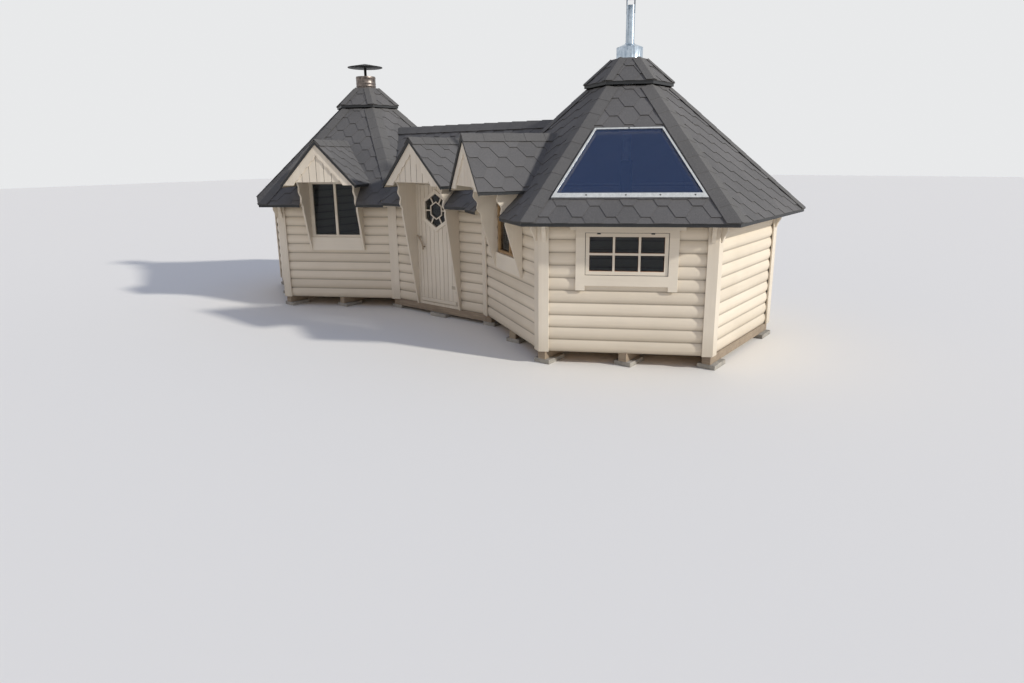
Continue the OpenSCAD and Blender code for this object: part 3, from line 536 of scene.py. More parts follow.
@dataclass(frozen=True)
class CastConcrete:
    """Cast concrete slabs: fine air holes of a few millimetres, a sandy face and damp stains."""

    name: str = "cast_concrete"

    def make(self) -> bpy.types.Material:
        """Builds the material."""
        material, tree, shader = blank(self.name)
        where = add(tree, "ShaderNodeTexCoord").outputs["Object"]
        stain = add(tree, "ShaderNodeTexNoise", {"Vector": where, "Scale": 9.0, "Detail": 5.0, "Roughness": 0.65})
        holes = add(tree, "ShaderNodeTexVoronoi", {"Vector": where, "Scale": 90.0})
        sand = add(tree, "ShaderNodeTexNoise", {"Vector": where, "Scale": 240.0, "Detail": 2.0})
        face = add(tree, "ShaderNodeValToRGB", {"Fac": stain.outputs["Fac"]},
                   stops=((0.3, "#7f7b74"), (0.7, "#a9a49a")))
        pit = add(tree, "ShaderNodeMapRange", {"Value": holes.outputs["Distance"], "From Min": 0.05, "From Max": 0.25})
        both = add(tree, "ShaderNodeMath", {0: pit, 1: sand.outputs["Fac"]}, operation="ADD")
        bump = add(tree, "ShaderNodeBump", {"Height": both, "Strength": 0.5, "Distance": 0.0015})
        feed(tree, shader, {"Base Color": face, "Roughness": 0.9, "Normal": bump})
        return material


class Paintbox:
    """Every finish of the building, each made once."""

    def __init__(self) -> None:
        """Makes the finishes."""
        paint, shade = "#dacebb", "#cdc1ae"
        trim, trim_shade = "#dbd1c0", "#cec3b2"
        # The logs' joints value sets their joint dust and the painted shade on each log's lower third.
        self.logs = {way: PaintedTimber(f"painted_pine_logs_{way}", paint, shade, heading=way, joints=0.7).make()
                     for way in (0, 30, 90, 150)}
        self.upright = {way: PaintedTimber(f"painted_pine_boards_{way}", trim, trim_shade, Grain.UPRIGHT, way,
                                           0.098).make()
                        for way in (0, 30, 150)}
        self.lying = {way: PaintedTimber(f"painted_pine_rails_{way}", trim, trim_shade, heading=way, strip=0.31).make()
                      for way in (0, 30, 150)}
        self.shingle = BitumenShingle().make()
        self.cap_shingle = BitumenShingle("slate_bitumen_capping", "#4c4b4a", "#646260").make()
        # Cut felt edges of tabs and strips; the same felt is the dark sheet of painted shade behind the gable joints.
        self.felt_edge_and_joint_shade = BitumenShingle("cut_felt_edge_and_joint_shade", "#454443", "#565350").make()
        # Painted shade: the vent cap's underside is near black, as the shaded gap under the cap looks.
        self.cap_underside_shade = BitumenShingle("cap_underside_painted_shade", "#1f1e1e", "#2a2928").make()
        self.black_steel = SheetMetal("stove_black_steel", "#1a1b1c", "#2b2c2c", 0.0, 0.5, 0.2).make()
        self.drip = SheetMetal("black_coated_drip_edge", "#151719", "#242628", 0.0, 0.42, 0.15).make()
        self.copper = SheetMetal("browned_steel_sheet", "#8b8079", "#474341", 1.0, 0.34, 0.2).make()
        self.pipe = SheetMetal("aluminium_painted_pipe", "#e6ebef", "#ccd3d9", 0.0, 0.45, 0.1).make()
        # Pale grey galvanised steel, with a bluish cast that is a painted reflection of a blue sky.
        self.bright = SheetMetal("sky_tinted_galvanised_steel", "#cdd8e2", "#9aa9b8", 1.0, 0.24, 0.16).make()
        self.rail = SheetMetal("mill_finish_aluminium", "#dcdedf", "#bfc2c4", 1.0, 0.36, 0.14).make()
        self.hinge = SheetMetal("overpainted_steel_hinge", "#c0b5a2", "#aea390", 0.0, 0.5, 0.15).make()
        self.clear = Glazing("clear_float_glass", "#20272b", 0.03, 0.42, 0.5).make()
        self.tinted = Glazing("blue_tinted_float_glass", "#31456a", 0.05, 0.40, 0.28).make()
        self.sash = StainedTimber("oiled_pine_sash", "#7d5f3f", "#a3845a", rough=0.45).make()
        self.bare = StainedTimber("bare_pine_edges", "#c58a62", "#dba982", rough=0.6).make()
        self.handle = StainedTimber("oiled_birch_branch", "#8d7c68", "#ab9a84", Grain.UPRIGHT, rough=0.5).make()
        self.bearer = StainedTimber("weathered_pine_bearer", "#77685a", "#988873").make()
        self.floor = StainedTimber("planed_spruce_boards", "#b58f63", "#caa677").make()
        self.roof_boards = StainedTimber("limed_spruce_roof_boards", "#a49781", "#b8ac97").make()
        self.concrete = CastConcrete().make()


# ------------------------------------------------------------------ meshes


def piece(name: str, mesh: bpy.types.Mesh, material: bpy.types.Material, body: str = "building",
          smooth: float | None = None) -> bpy.types.Object:
    """Puts a mesh in the scene as a piece of the building.

    Args:
        name: the piece's name.
        mesh: its mesh, already in place.
        material: its finish.
        body: the body that it rides on.
        smooth: the angle in degrees below which faces are shaded smooth, if any.

    Returns:
        The new object.
    """
    mesh.name = name
    mesh.materials.clear()
    mesh.materials.append(material)
    if smooth is not None:
        mesh.shade_smooth()
        mesh.set_sharp_from_angle(angle=math.radians(smooth))
    made = bpy.data.objects.new(name, mesh)
    bpy.context.scene.collection.objects.link(made)
    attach(made, body)
    return made


def bevel(made: bpy.types.Object, width: float, segments: int = 2) -> bpy.types.Object:
    """Rounds the edges of a piece that turn by more than 35 degrees, with a live Bevel.

    Args:
        made: the piece.
        width: the width of the rounding.
        segments: the number of its steps.

    Returns:
        The same piece.
    """
    mod = made.modifiers.new("round", "BEVEL")
    mod.width = width
    mod.segments = segments
    mod.limit_method = "ANGLE"
    mod.angle_limit = math.radians(35)
    mod.use_clamp_overlap = True
    return made


def solid(points: Array, faces: Array | list, tones: Array | None = None) -> bpy.types.Mesh:
    """Mesh from an array of points and lists of corner numbers, with an own shade for each face if tones are given.

    Args:
        points: (x, y, z) rows.
        faces: a list of corner numbers for each face.
        tones: an own shade for each face.

    Returns:
        The mesh.
    """
    mesh = bpy.data.meshes.new("shape")
    mesh.from_pydata(np.asarray(points, float).reshape(-1, 3).tolist(), [], [list(map(int, f)) for f in faces])
    if tones is not None:
        mesh.attributes.new("tone", "FLOAT", "FACE").data.foreach_set("value", np.asarray(tones, np.float32))
    mesh.update()
    return mesh


def rectangles(place: Place, u1: Array | float, u2: Array | float, v1: float, v2: float,
               n: float = 0.0) -> bpy.types.Mesh:
    """Flat rectangles at the height n of a place, from u1 to u2 and from v1 to v2. u1 and u2 may be arrays.

    Args:
        place: the place.
        u1: the left end, or the left ends.
        u2: the right end, or the right ends.
        v1: the foot.
        v2: the top.
        n: the height over the place.

    Returns:
        The mesh.
    """
    left, right = np.atleast_1d(u1), np.atleast_1d(u2)
    u = np.stack([left, right, right, left], 1)
    corners = np.stack([u, np.broadcast_to([v1, v1, v2, v2], u.shape), np.full(u.shape, n)], 2)
    return solid(place.at(corners), np.arange(u.size).reshape(-1, 4))


BOX_FACES = np.array([[0, 3, 2, 1], [4, 5, 6, 7], [0, 1, 5, 4], [1, 2, 6, 5], [2, 3, 7, 6], [3, 0, 4, 7]])


def blocks(place: Place, low: Array, high: Array) -> bpy.types.Mesh:
    """Closed blocks between pairs of local corners, all in one mesh.

    Args:
        place: the place that the corners are given in.
        low: the lowest (u, v, n) of each block, as rows.
        high: the highest (u, v, n) of each block, as rows.

    Returns:
        The mesh. Corner k of a block takes low or high on each axis, in the order of a counting cube.
    """
    low, high = np.atleast_2d(low), np.atleast_2d(high)
    pick = np.array([[0, 0, 0], [1, 0, 0], [1, 1, 0], [0, 1, 0], [0, 0, 1], [1, 0, 1], [1, 1, 1], [0, 1, 1]])
    corners = np.where(pick[None], high[:, None], low[:, None])
    faces = (BOX_FACES[None] + 8 * np.arange(len(low))[:, None, None]).reshape(-1, 4)
    return solid(place.at(corners), faces)


def prism(place: Place, outline: Array, n1: float, n2: float) -> bpy.types.Mesh:
    """Closed prism of an outline, given anticlockwise as (u, v) rows, from n1 out to n2.

    Args:
        place: the place.
        outline: (u, v) rows.
        n1: the height of the back.
        n2: the height of the front.

    Returns:
        The mesh.
    """
    outline = np.asarray(outline, float)
    count = len(outline)
    ring = np.arange(count)
    both = np.concatenate([np.c_[outline, np.full(count, n1)], np.c_[outline, np.full(count, n2)]])
    sides = np.stack([ring, (ring + 1) % count, (ring + 1) % count + count, ring + count], 1)
    return solid(place.at(both), [ring[::-1], ring + count, *sides])


def disc(radius: float, corners: int) -> Array:
    """Corners of a regular outline round (0, 0), anticlockwise."""
    t = 2 * np.pi * np.arange(corners) / corners
    return radius * np.stack([np.cos(t), np.sin(t)], 1)


def revolve(centre: Array, profile: Array, steps: int = 64) -> bpy.types.Mesh:
    """Closed surface of a closed profile turned round an upright axis.

    The point at step i and profile corner k is (r_k cos t_i, r_k sin t_i, z_k), with t_i = 2 pi i / steps.

    Args:
        centre: a point on the axis, from which the heights count.
        profile: (r, z) rows, anticlockwise with r to the right, and not on the axis.
        steps: the number of steps in a full turn.

    Returns:
        The mesh, with quads that face outwards.
    """
    profile = np.asarray(profile, float)
    t = np.linspace(0, 2 * np.pi, steps, endpoint=False)[:, None]
    r, z = profile[None, :, 0], profile[None, :, 1]
    points = np.stack([r * np.cos(t), r * np.sin(t), np.broadcast_to(z, (steps, len(profile)))], 2) + centre
    i, k = np.meshgrid(np.arange(steps), np.arange(len(profile)), indexing="ij")
    i2, k2 = (i + 1) % steps, (k + 1) % len(profile)
    width = len(profile)
    quads = np.stack([i * width + k, i2 * width + k, i2 * width + k2, i * width + k2], 2).reshape(-1, 4)
    return solid(points, quads)


def merged(meshes: Sequence[bpy.types.Mesh]) -> bpy.types.Mesh:
    """One mesh with all the given ones in it, attributes kept.

    Args:
        meshes: the meshes, which are used up.

    Returns:
        The new mesh.
    """
    bm = bmesh.new()
    for mesh in meshes:
        bm.from_mesh(mesh)
    out = bpy.data.meshes.new("shape")
    bm.to_mesh(out)
    bm.free()
    for mesh in meshes:
        bpy.data.meshes.remove(mesh)
    return out


# Faces below this area, in square metres, are left out after a cut.
SPECK = 2e-6


def trim(mesh: bpy.types.Mesh, keep: Mass = (), carve: Sequence[Mass] = ()) -> bpy.types.Mesh:
    """Cuts open sheets by planes.

    Args:
        mesh: flat faces with no thickness yet.
        keep: half spaces to stay inside.
        carve: masses whose inside is cut out.

    Returns:
        The same mesh, cut.
    """
    bm = bmesh.new()
    bm.from_mesh(mesh)
    for point, normal in keep:
        bmesh.ops.bisect_plane(bm, geom=[*bm.verts, *bm.edges, *bm.faces], dist=1e-6, plane_co=point, plane_no=normal,
                               clear_outer=True)
    for mass in carve:
        for point, normal in mass:
            bmesh.ops.bisect_plane(bm, geom=[*bm.verts, *bm.edges, *bm.faces], dist=1e-6, plane_co=point,
                                   plane_no=normal)
        bm.faces.ensure_lookup_table()
        if not bm.faces:
            continue
        middle = np.array([f.calc_center_median() for f in bm.faces])
        inside = np.all([(middle - point) @ normal < -1e-6 for point, normal in mass], axis=0)
        bmesh.ops.delete(bm, geom=[bm.faces[i] for i in np.flatnonzero(inside)], context="FACES")
    bmesh.ops.delete(bm, geom=[f for f in bm.faces if f.calc_area() < SPECK], context="FACES")
    bm.to_mesh(mesh)
    bm.free()
    return mesh


def thicken(made: bpy.types.Object, depth: float, edge: bpy.types.Material | None = None) -> bpy.types.Object:
    """Gives a sheet its thickness, inwards from its drawn face, and its edge a finish of its own if one is given.

    Args:
        made: the piece.
        depth: the thickness.
        edge: the finish of the edge, if it has its own.

    Returns:
        The same piece.
    """
    mod = made.modifiers.new("thickness", "SOLIDIFY")
    mod.thickness = depth
    mod.offset = -1.0
    mod.use_even_offset = True
    if edge:
        made.data.materials.append(edge)
        mod.material_offset_rim = 1
    return made


def cad_copy(node: str, dissolve: bool = True) -> bpy.types.Mesh:
    """Copy of a CAD node, with doubled points merged and, if dissolve is set, flat faces made whole.

    Args:
        node: the CAD node.
        dissolve: whether flat faces are made whole.

    Returns:
        The mesh.
    """
    bm = bmesh.new()
    bm.from_mesh(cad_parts[node].data)
    bmesh.ops.remove_doubles(bm, verts=bm.verts, dist=2e-5)
    if dissolve:
        bmesh.ops.dissolve_limit(bm, angle_limit=math.radians(0.6), verts=bm.verts, edges=bm.edges)
    bmesh.ops.recalc_face_normals(bm, faces=bm.faces)
    for face in bm.faces:
        face.smooth = False
    out = bpy.data.meshes.new("copy")
    bm.to_mesh(out)
    bm.free()
    return out


def softened(name: str, node: str, material: bpy.types.Material, width: float = 0.002) -> bpy.types.Object:
    """Copy of a CAD node with eased edges, shown in its place.

    Args:
        name: its name.
        node: the CAD node.
        material: the finish.
        width: the width of the rounding.

    Returns:
        The new piece.
    """
    made = piece(name, cad_copy(node), material)
    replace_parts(made, node)
    return bevel(made, width)


def smoothed(name: str, node: str, material: bpy.types.Material, body: str = "building",
             smooth: float = 34) -> None:
    """Copy of a rounded CAD node with smooth shading, shown in its place."""
    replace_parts(piece(name, cad_copy(node, False), material, body, smooth), node)


def boarded(name: str, node: str, upright: bpy.types.Material, lying: bpy.types.Material) -> None:
    """Copy of a CAD node of boards, shown in its place.

    Each board whose height is its longest side gets the upright finish, and the others get the lying one.

    Args:
        name: its name.
        node: the CAD node.
        upright: the finish of the upright boards.
        lying: the finish of the others.
    """
    mesh = cad_copy(node)
    made = piece(name, mesh, upright)
    mesh.materials.append(lying)
    bm = bmesh.new()
    bm.from_mesh(mesh)
    left = set(bm.faces)
    while left:
        island, edge = set(), [left.pop()]
        while edge:
            face = edge.pop()
            island.add(face)
            near = {other for side in face.edges for other in side.link_faces} & left
            left -= near
            edge.extend(near)
        points = np.array([v.co for face in island for v in face.verts])
        size = np.ptp(points, axis=0)
        for face in island:
            face.material_index = int(math.hypot(size[0], size[1]) > size[2])
    bm.to_mesh(mesh)
    bm.free()
    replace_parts(made, node)
    bevel(made, 0.0025)


def dress(node: str, material: bpy.types.Material) -> None:
    """Gives a CAD node its finish.

    Args:
        node: the CAD node.
        material: the finish.
    """
    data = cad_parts[node].data
    data.materials.clear()
    data.materials.append(material)


# ------------------------------------------------------------------ roofs


# How far above a roof's panels the shingles, a dormer's shingles and the folded strips that run into it are cut.
SHINGLE_CUT, DORMER_CUT, STRIP_CUT = 0.010, 0.008, 0.012
# How far the lowest tabs reach past the eave of a main roof and of a vent cap.
OVERHANG, CAP_OVERHANG = 0.008, 0.006
# How far the rows reach past a hip, under its strips.
UNDER_STRIPS = 0.002


@dataclass(frozen=True)
class DripEdge:
    """Black coated strip on the upright edge of an eave: a flat sheet a little off the edge and a little above it."""

    gap: float = 0.0025
    deep: float = 0.035
    lip: float = 0.007
    thick: float = 0.0022

    def sheet(self, wall: Place, half: float, z: float) -> bpy.types.Mesh:
        """Flat strip round the height z of an eave, out to half on both sides."""
        return rectangles(wall, -half, half, z - self.deep, z + self.lip)


DRIP, CAP_DRIP = DripEdge(), DripEdge(deep=0.034, lip=0.006)


@dataclass
class ShingleField:
    """Rows of six-sided bitumen tabs on one roof face.

    A tab is flat at its foot, widens by the slant on each side over one exposure, and then runs straight up under the
    two rows above it. Its top face falls from rise at the foot to nothing two exposures up, so each row rests on the
    last one. Alternate rows are half a tab apart.
    """

    tab: float = 0.333
    flat: float = 0.094
    slant: float = 0.0725
    exposure: float = 0.143
    lap: float = 0.022
    rise: float = 0.010
    thick: float = 0.006
    lift: float = 0.0065

    def rows(self, place: Place, width: float, length: float, start: float, seed: int) -> bpy.types.Mesh:
        """Tabs over a rectangle of a roof face.

        Args:
            place: the face, with its origin at the middle of the eave.
            width: the width to cover.
            length: the length to cover up the slope.
            start: how far below the eave the foot of row 0 lies.
            seed: seed of the tabs' small differences.

        Returns:
            Flat tab faces, untrimmed.
        """
        luck = np.random.default_rng(seed)
        k = np.arange(-2, int(length / self.exposure) + 2)
        j = np.arange(-int(width / self.tab / 2) - 2, int(width / self.tab / 2) + 3)
        row, column = (g.ravel() for g in np.meshgrid(k, j, indexing="ij"))
        foot_u = column * self.tab + (row % 2) * self.tab / 2
        foot_v = row * self.exposure - start
        half, wide, top = self.flat / 2, self.flat / 2 + self.slant, 2 * self.exposure + self.lap
        u = np.array([-half, half, wide, wide, -wide, -wide])
        v = np.array([0, 0, self.exposure, top, top, self.exposure])
        fall = self.rise * (1 - v / (2 * self.exposure))
        curl = luck.uniform(0.9, 1.15, (len(row), 1))
        crooked = luck.uniform(-0.0012, 0.0012, (len(row), 1))
        local = np.stack([foot_u[:, None] + u, foot_v[:, None] + v + crooked,
                          self.lift + np.where(v > self.exposure * 1.5, fall, fall * curl)], 2)
        faces = np.arange(6 * len(row)).reshape(-1, 6)
        return solid(place.at(local), faces, luck.uniform(0, 1, len(row)))


@dataclass
class FoldedCaps:
    """Bitumen strips folded over a hip or a ridge, each lapped over the one below it.

    At a station s along the line, five points cross it: out along one face, close to the line, on it, and the same on
    the other face. Each strip falls from rise at its lower end to nothing one step up, and on under the next one.
    """

    half: float = 0.125
    crease: float = 0.008
    length: float = 0.25
    lap: float = 0.05
    rise: float = 0.003
    lift: float = 0.022
    thick: float = 0.004

    def chain(self, low: Array, high: Array, faces: tuple[Array, Array], seed: int) -> bpy.types.Mesh:
        """Strips from the low end of a line to its high end.

        Args:
            low: the lower end, on the roof panels.
            high: the upper end.
            faces: the outward normals of the two roof faces that meet there.
            seed: seed of the strips' own shades.

        Returns:
            Faces with no thickness yet.
        """
        along = (high - low) / np.linalg.norm(high - low)
        reach = float(np.linalg.norm(high - low))
        count = max(1, round(reach / self.length))
        step = reach / count
        outs = []
        for one, other in (faces, faces[::-1]):
            side = np.cross(one, along)
            outs.append(side if side @ other < 0 else -side)
        crown = (faces[0] + faces[1]) / np.linalg.norm(faces[0] + faces[1])
        start = np.arange(count) * step
        s = np.stack([start, start + step + self.lap], 1)
        s[-1, 1] = reach
        height = self.lift + np.array([self.rise, -self.rise * self.lap / step])[None, :, None, None]
        spread = np.stack([outs[0] * self.half, outs[0] * self.crease, np.zeros(3), outs[1] * self.crease,
                           outs[1] * self.half])
        raised = np.stack([faces[0], faces[0], crown * 0.97 / max(crown @ faces[0], 0.3), faces[1], faces[1]])
        base = low + s[:, :, None, None] * along
        points = base + spread[None, None] + height * raised[None, None]
        corner = np.arange(count)[:, None] * 10
        k = np.arange(4)[None]
        quads = np.stack([corner + k, corner + k + 1, corner + k + 6, corner + k + 5], 2).reshape(-1, 4)
        normal = np.cross(points[0, 0, 1] - points[0, 0, 0], points[0, 1, 0] - points[0, 0, 0])
        if normal @ faces[0] < 0:
            quads = quads[:, ::-1]
        tones = np.repeat(np.random.default_rng(seed).uniform(0.1, 0.9, count), 4)
        return solid(points, quads, tones)


@dataclass
class HutRoof:
    """Six shingled faces of one hut roof, their hip strips, the black drip edge, and the vent cap above."""

    side: str
    x: float
    towards_link: int
    dormer: int
    window: int | None = None
    window_low: float = 0.303
    window_long: float = 0.987
    window_side: tuple[float, float] = (0.034, 0.042)
    capping: float = 0.128 / 1.2
    tabs: ShingleField = field(default_factory=ShingleField)
    caps: FoldedCaps = field(default_factory=FoldedCaps)

    @property
    def middle(self) -> Array:
        """Point on the ground at the hut's middle."""
        return np.array([self.x, 0.0, 0.0])

    def hips(self, angle: float) -> Mass:
        """Half spaces inside the two hips beside a face, and a little past them."""
        across = (turn(angle + 120), turn(angle - 120))
        return tuple(HalfSpace(self.middle + UNDER_STRIPS * normal, normal) for normal in across)

    def roof_window(self, angle: float) -> Mass:
        """Upright mass round the frame of the roof window in a face.

        Args:
            angle: the direction that the face looks in, in degrees.

        Returns:
            The mass.
        """
        slope = self.slope(angle)
        low, high = self.window_low, self.window_low + self.window_long
        half = [self.beside_strip(v) - side for v, side in zip((low, high), self.window_side)]
        lean = math.atan2(half[0] - half[1], high - low)
        edges = [slope.beyond(0, -1, v=low - 0.001), slope.beyond(0, 1, v=high + 0.001)]
        edges += [slope.beyond(s * math.cos(lean), math.sin(lean), u=s * half[0], v=low) for s in (-1, 1)]
        return tuple(edges)

    def beside_strip(self, v: float) -> float:
        """Half the width of a roof face between its hip cappings, at the distance v up from the eave."""
        return (PLAN.eave_q - v * math.cos(PLAN.hut_pitch)) * TAN30 - self.capping / COS30

    def slope(self, angle: float) -> Place:
        """Place of a roof face."""
        return hut_slope(self.x, angle)

    def passage_cut(self, angle: float, lift: float) -> list[Mass]:
        """The passage roof as a mass to cut away, for what lies on its side of the hut, else nothing."""
        return [link_mass(lift)] if math.cos(math.radians(angle - self.towards_link)) > -0.1 else []

    def shingles(self, paint: Paintbox) -> None:
        """Tabs on all six faces, cut at the hips, the passage roof, the dormer and the roof window.

        Args:
            paint: the finishes.
        """
        top = (PLAN.eave_q - PLAN.vent_q) / math.cos(PLAN.hut_pitch)
        parts = []
        for angle in range(0, 360, 60):
            slope = self.slope(angle)
            sheet = self.tabs.rows(slope, 2 * PLAN.eave_q * TAN30, top, 0.072, 11 + angle + int(self.x > 0))
            keep = self.hips(angle) + (slope.beyond(0, -1, v=-OVERHANG), slope.beyond(0, 1, v=top))
            carve = self.passage_cut(angle, SHINGLE_CUT)
            if angle == self.dormer:
                carve.append(gable_mass(wall_place(self.x, angle, PLAN.ap), PLAN.cheek_out + 0.001, SHINGLE_CUT))
            if angle == self.window:
                carve.append(self.roof_window(angle))
            parts.append(trim(sheet, keep, carve))
        made = piece(f"{self.side}_roof_shingles", merged(parts), paint.shingle)
        thicken(made, self.tabs.thick, paint.felt_edge_and_joint_shade)

    def hip_strips(self, paint: Paintbox) -> None:
        """Folded strips on the six hips, in place of the plain CAD cappings.

        Args:
            paint: the finishes.
        """
        parts = []
        for k, angle in enumerate(range(30, 360, 60)):
            low = self.middle + PLAN.eave_q / COS30 * turn(angle) + PLAN.hut_z(PLAN.eave_q) * UP
            high = self.middle + PLAN.vent_r * turn(angle) + PLAN.hut_z(PLAN.vent_q) * UP
            normals = (self.slope(angle - 30).n, self.slope(angle + 30).n)
            sheet = self.caps.chain(low, high, normals, 40 + k)
            keep = tuple(self.slope(a).beyond(0, -1, v=-OVERHANG) for a in (angle - 30, angle + 30))
            parts.append(trim(sheet, keep, self.passage_cut(angle, STRIP_CUT)))
        made = piece(f"{self.side}_hip_strips", merged(parts), paint.cap_shingle)
        thicken(made, self.caps.thick)
        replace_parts(made, f"{self.side}_hip_caps")

    def drip_edge(self, paint: Paintbox) -> None:
        """Black coated strip on the upright edge of the eaves, open where the passage and the dormer pass.

        Args:
            paint: the finishes.
        """
        parts = []
        q = PLAN.eave_q + DRIP.gap
        for angle in range(0, 360, 60):
            if angle == self.towards_link:
                continue
            carve = self.passage_cut(angle, 0.0)
            if angle == self.dormer:
                carve.append(gable_mass(wall_place(self.x, angle, PLAN.ap), PLAN.cheek_out + 0.0005, 1.0))
            sheet = DRIP.sheet(wall_place(self.x, angle, q), q * TAN30, PLAN.hut_z(PLAN.eave_q))
            parts.append(trim(sheet, (), carve))
        thicken(piece(f"{self.side}_drip_edge", merged(parts), paint.drip), DRIP.thick)

    def vent_cap(self, paint: Paintbox) -> None:
        """Shingles, hip strips and a dark edge on the raised cap over the smoke opening.

        Args:
            paint: the finishes.
        """
        cap_q, top_q = PLAN.cap_r * COS30, PLAN.cap_top_r * COS30
        edge_q, z = cap_q + CAP_DRIP.gap, PLAN.cap_z(cap_q)
        length = (cap_q - top_q) / math.cos(PLAN.hut_pitch)
        sheets, strips, edges = [], [], []
        small = FoldedCaps(half=0.075, length=0.3, lift=0.021)
        for angle in range(0, 360, 60):
            slope, other = (slope_place(self.x, a, cap_q, z) for a in (angle, angle + 60))
            feet = tuple(s.beyond(0, -1, v=-CAP_OVERHANG) for s in (slope, other))
            sheet = self.tabs.rows(slope, 0.9, length, 0.04, 211 + angle + int(self.x > 0))
            sheets.append(trim(sheet, self.hips(angle) + (feet[0], slope.beyond(0, 1, v=length))))
            low = self.middle + PLAN.cap_r * turn(angle + 30) + z * UP
            high = self.middle + PLAN.cap_top_r * turn(angle + 30) + PLAN.cap_z(top_q) * UP
            strips.append(trim(small.chain(low, high, (slope.n, other.n), 60 + angle), feet))
            edges.append(CAP_DRIP.sheet(wall_place(self.x, angle, edge_q), edge_q * TAN30, z))
        tabs = piece(f"{self.side}_cap_shingles", merged(sheets), paint.shingle)
        thicken(tabs, self.tabs.thick, paint.felt_edge_and_joint_shade)
        folded = piece(f"{self.side}_cap_hip_strips", merged(strips), paint.cap_shingle)
        thicken(folded, small.thick, paint.felt_edge_and_joint_shade)
        thicken(piece(f"{self.side}_cap_edge", merged(edges), paint.drip), CAP_DRIP.thick)

    def build(self, paint: Paintbox) -> None:
        """Builds the roof of one hut.

        Args:
            paint: the finishes.
        """
        self.shingles(paint)
        self.hip_strips(paint)
        self.drip_edge(paint)
        self.vent_cap(paint)
        dress(f"{self.side}_roof", paint.roof_boards)
        # The vent cap's near-black underside is painted shade.
        dress(f"{self.side}_vent_cap", paint.cap_underside_shade)
        log.info("%s roof: shingles, hip strips, drip edge and vent cap", self.side)


@dataclass
class PassageRoof:
    """Shingles on both faces of the passage roof, its ridge strips and its drip edges."""

    tabs: ShingleField = field(default_factory=ShingleField)

    def huts(self, lift: float) -> list[Mass]:
        """Both hut roofs as masses to cut away."""
        return [hut_mass(-PLAN.hub, lift), hut_mass(PLAN.hub, lift)]

    def build(self, paint: Paintbox) -> None:
        """Builds the passage roof. The door dormer is cut out of its front face.

        Args:
            paint: the finishes.
        """
        length = PLAN.link_eave / math.cos(PLAN.link_pitch)
        sheets, edges = [], []
        for angle in (90, 270):
            slope = link_slope(angle)
            door = [gable_mass(DOOR_WALL, PLAN.cheek_out + 0.001, SHINGLE_CUT)] if angle == 270 else []
            keep = (slope.beyond(0, -1, v=-OVERHANG), slope.beyond(0, 1, v=length + 0.002),
                    slope.beyond(-1, 0, u=-PLAN.hub), slope.beyond(1, 0, u=PLAN.hub))
            rows = self.tabs.rows(slope, 2 * PLAN.hub, length, 0.072, 311 + angle)
            sheets.append(trim(rows, keep, self.huts(SHINGLE_CUT) + door))
            wall = wall_place(0.0, angle, PLAN.link_eave + DRIP.gap)
            notch = [gable_mass(DOOR_WALL, PLAN.cheek_out + 0.0005, 1.0)] if angle == 270 else []
            edge = DRIP.sheet(wall, PLAN.hub, PLAN.link_z(PLAN.link_eave))
            edges.append(trim(edge, (), self.huts(0.0) + notch))
        tabs = piece("passage_shingles", merged(sheets), paint.shingle)
        thicken(tabs, self.tabs.thick, paint.felt_edge_and_joint_shade)
        thicken(piece("passage_drip_edge", merged(edges), paint.drip), DRIP.thick)
        ridge = FoldedCaps(half=0.135, length=0.26, lift=0.022, rise=0.006)
        z = PLAN.link_z(0)
        ends = np.array([-PLAN.hub, 0, z]), np.array([PLAN.hub, 0, z])
        strips = ridge.chain(*ends, (link_slope(90).n, link_slope(270).n), 77)
        door = gable_mass(DOOR_WALL, PLAN.dormer_half, STRIP_CUT)
        strips = trim(strips, (), [*self.huts(STRIP_CUT), door])
        made = piece("passage_ridge_strips", strips, paint.cap_shingle)
        thicken(made, ridge.thick, paint.felt_edge_and_joint_shade)
        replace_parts(made, "link_ridge_cap")
        dress("link_roof", paint.roof_boards)
        log.info("passage roof: shingles, ridge strips and drip edges")


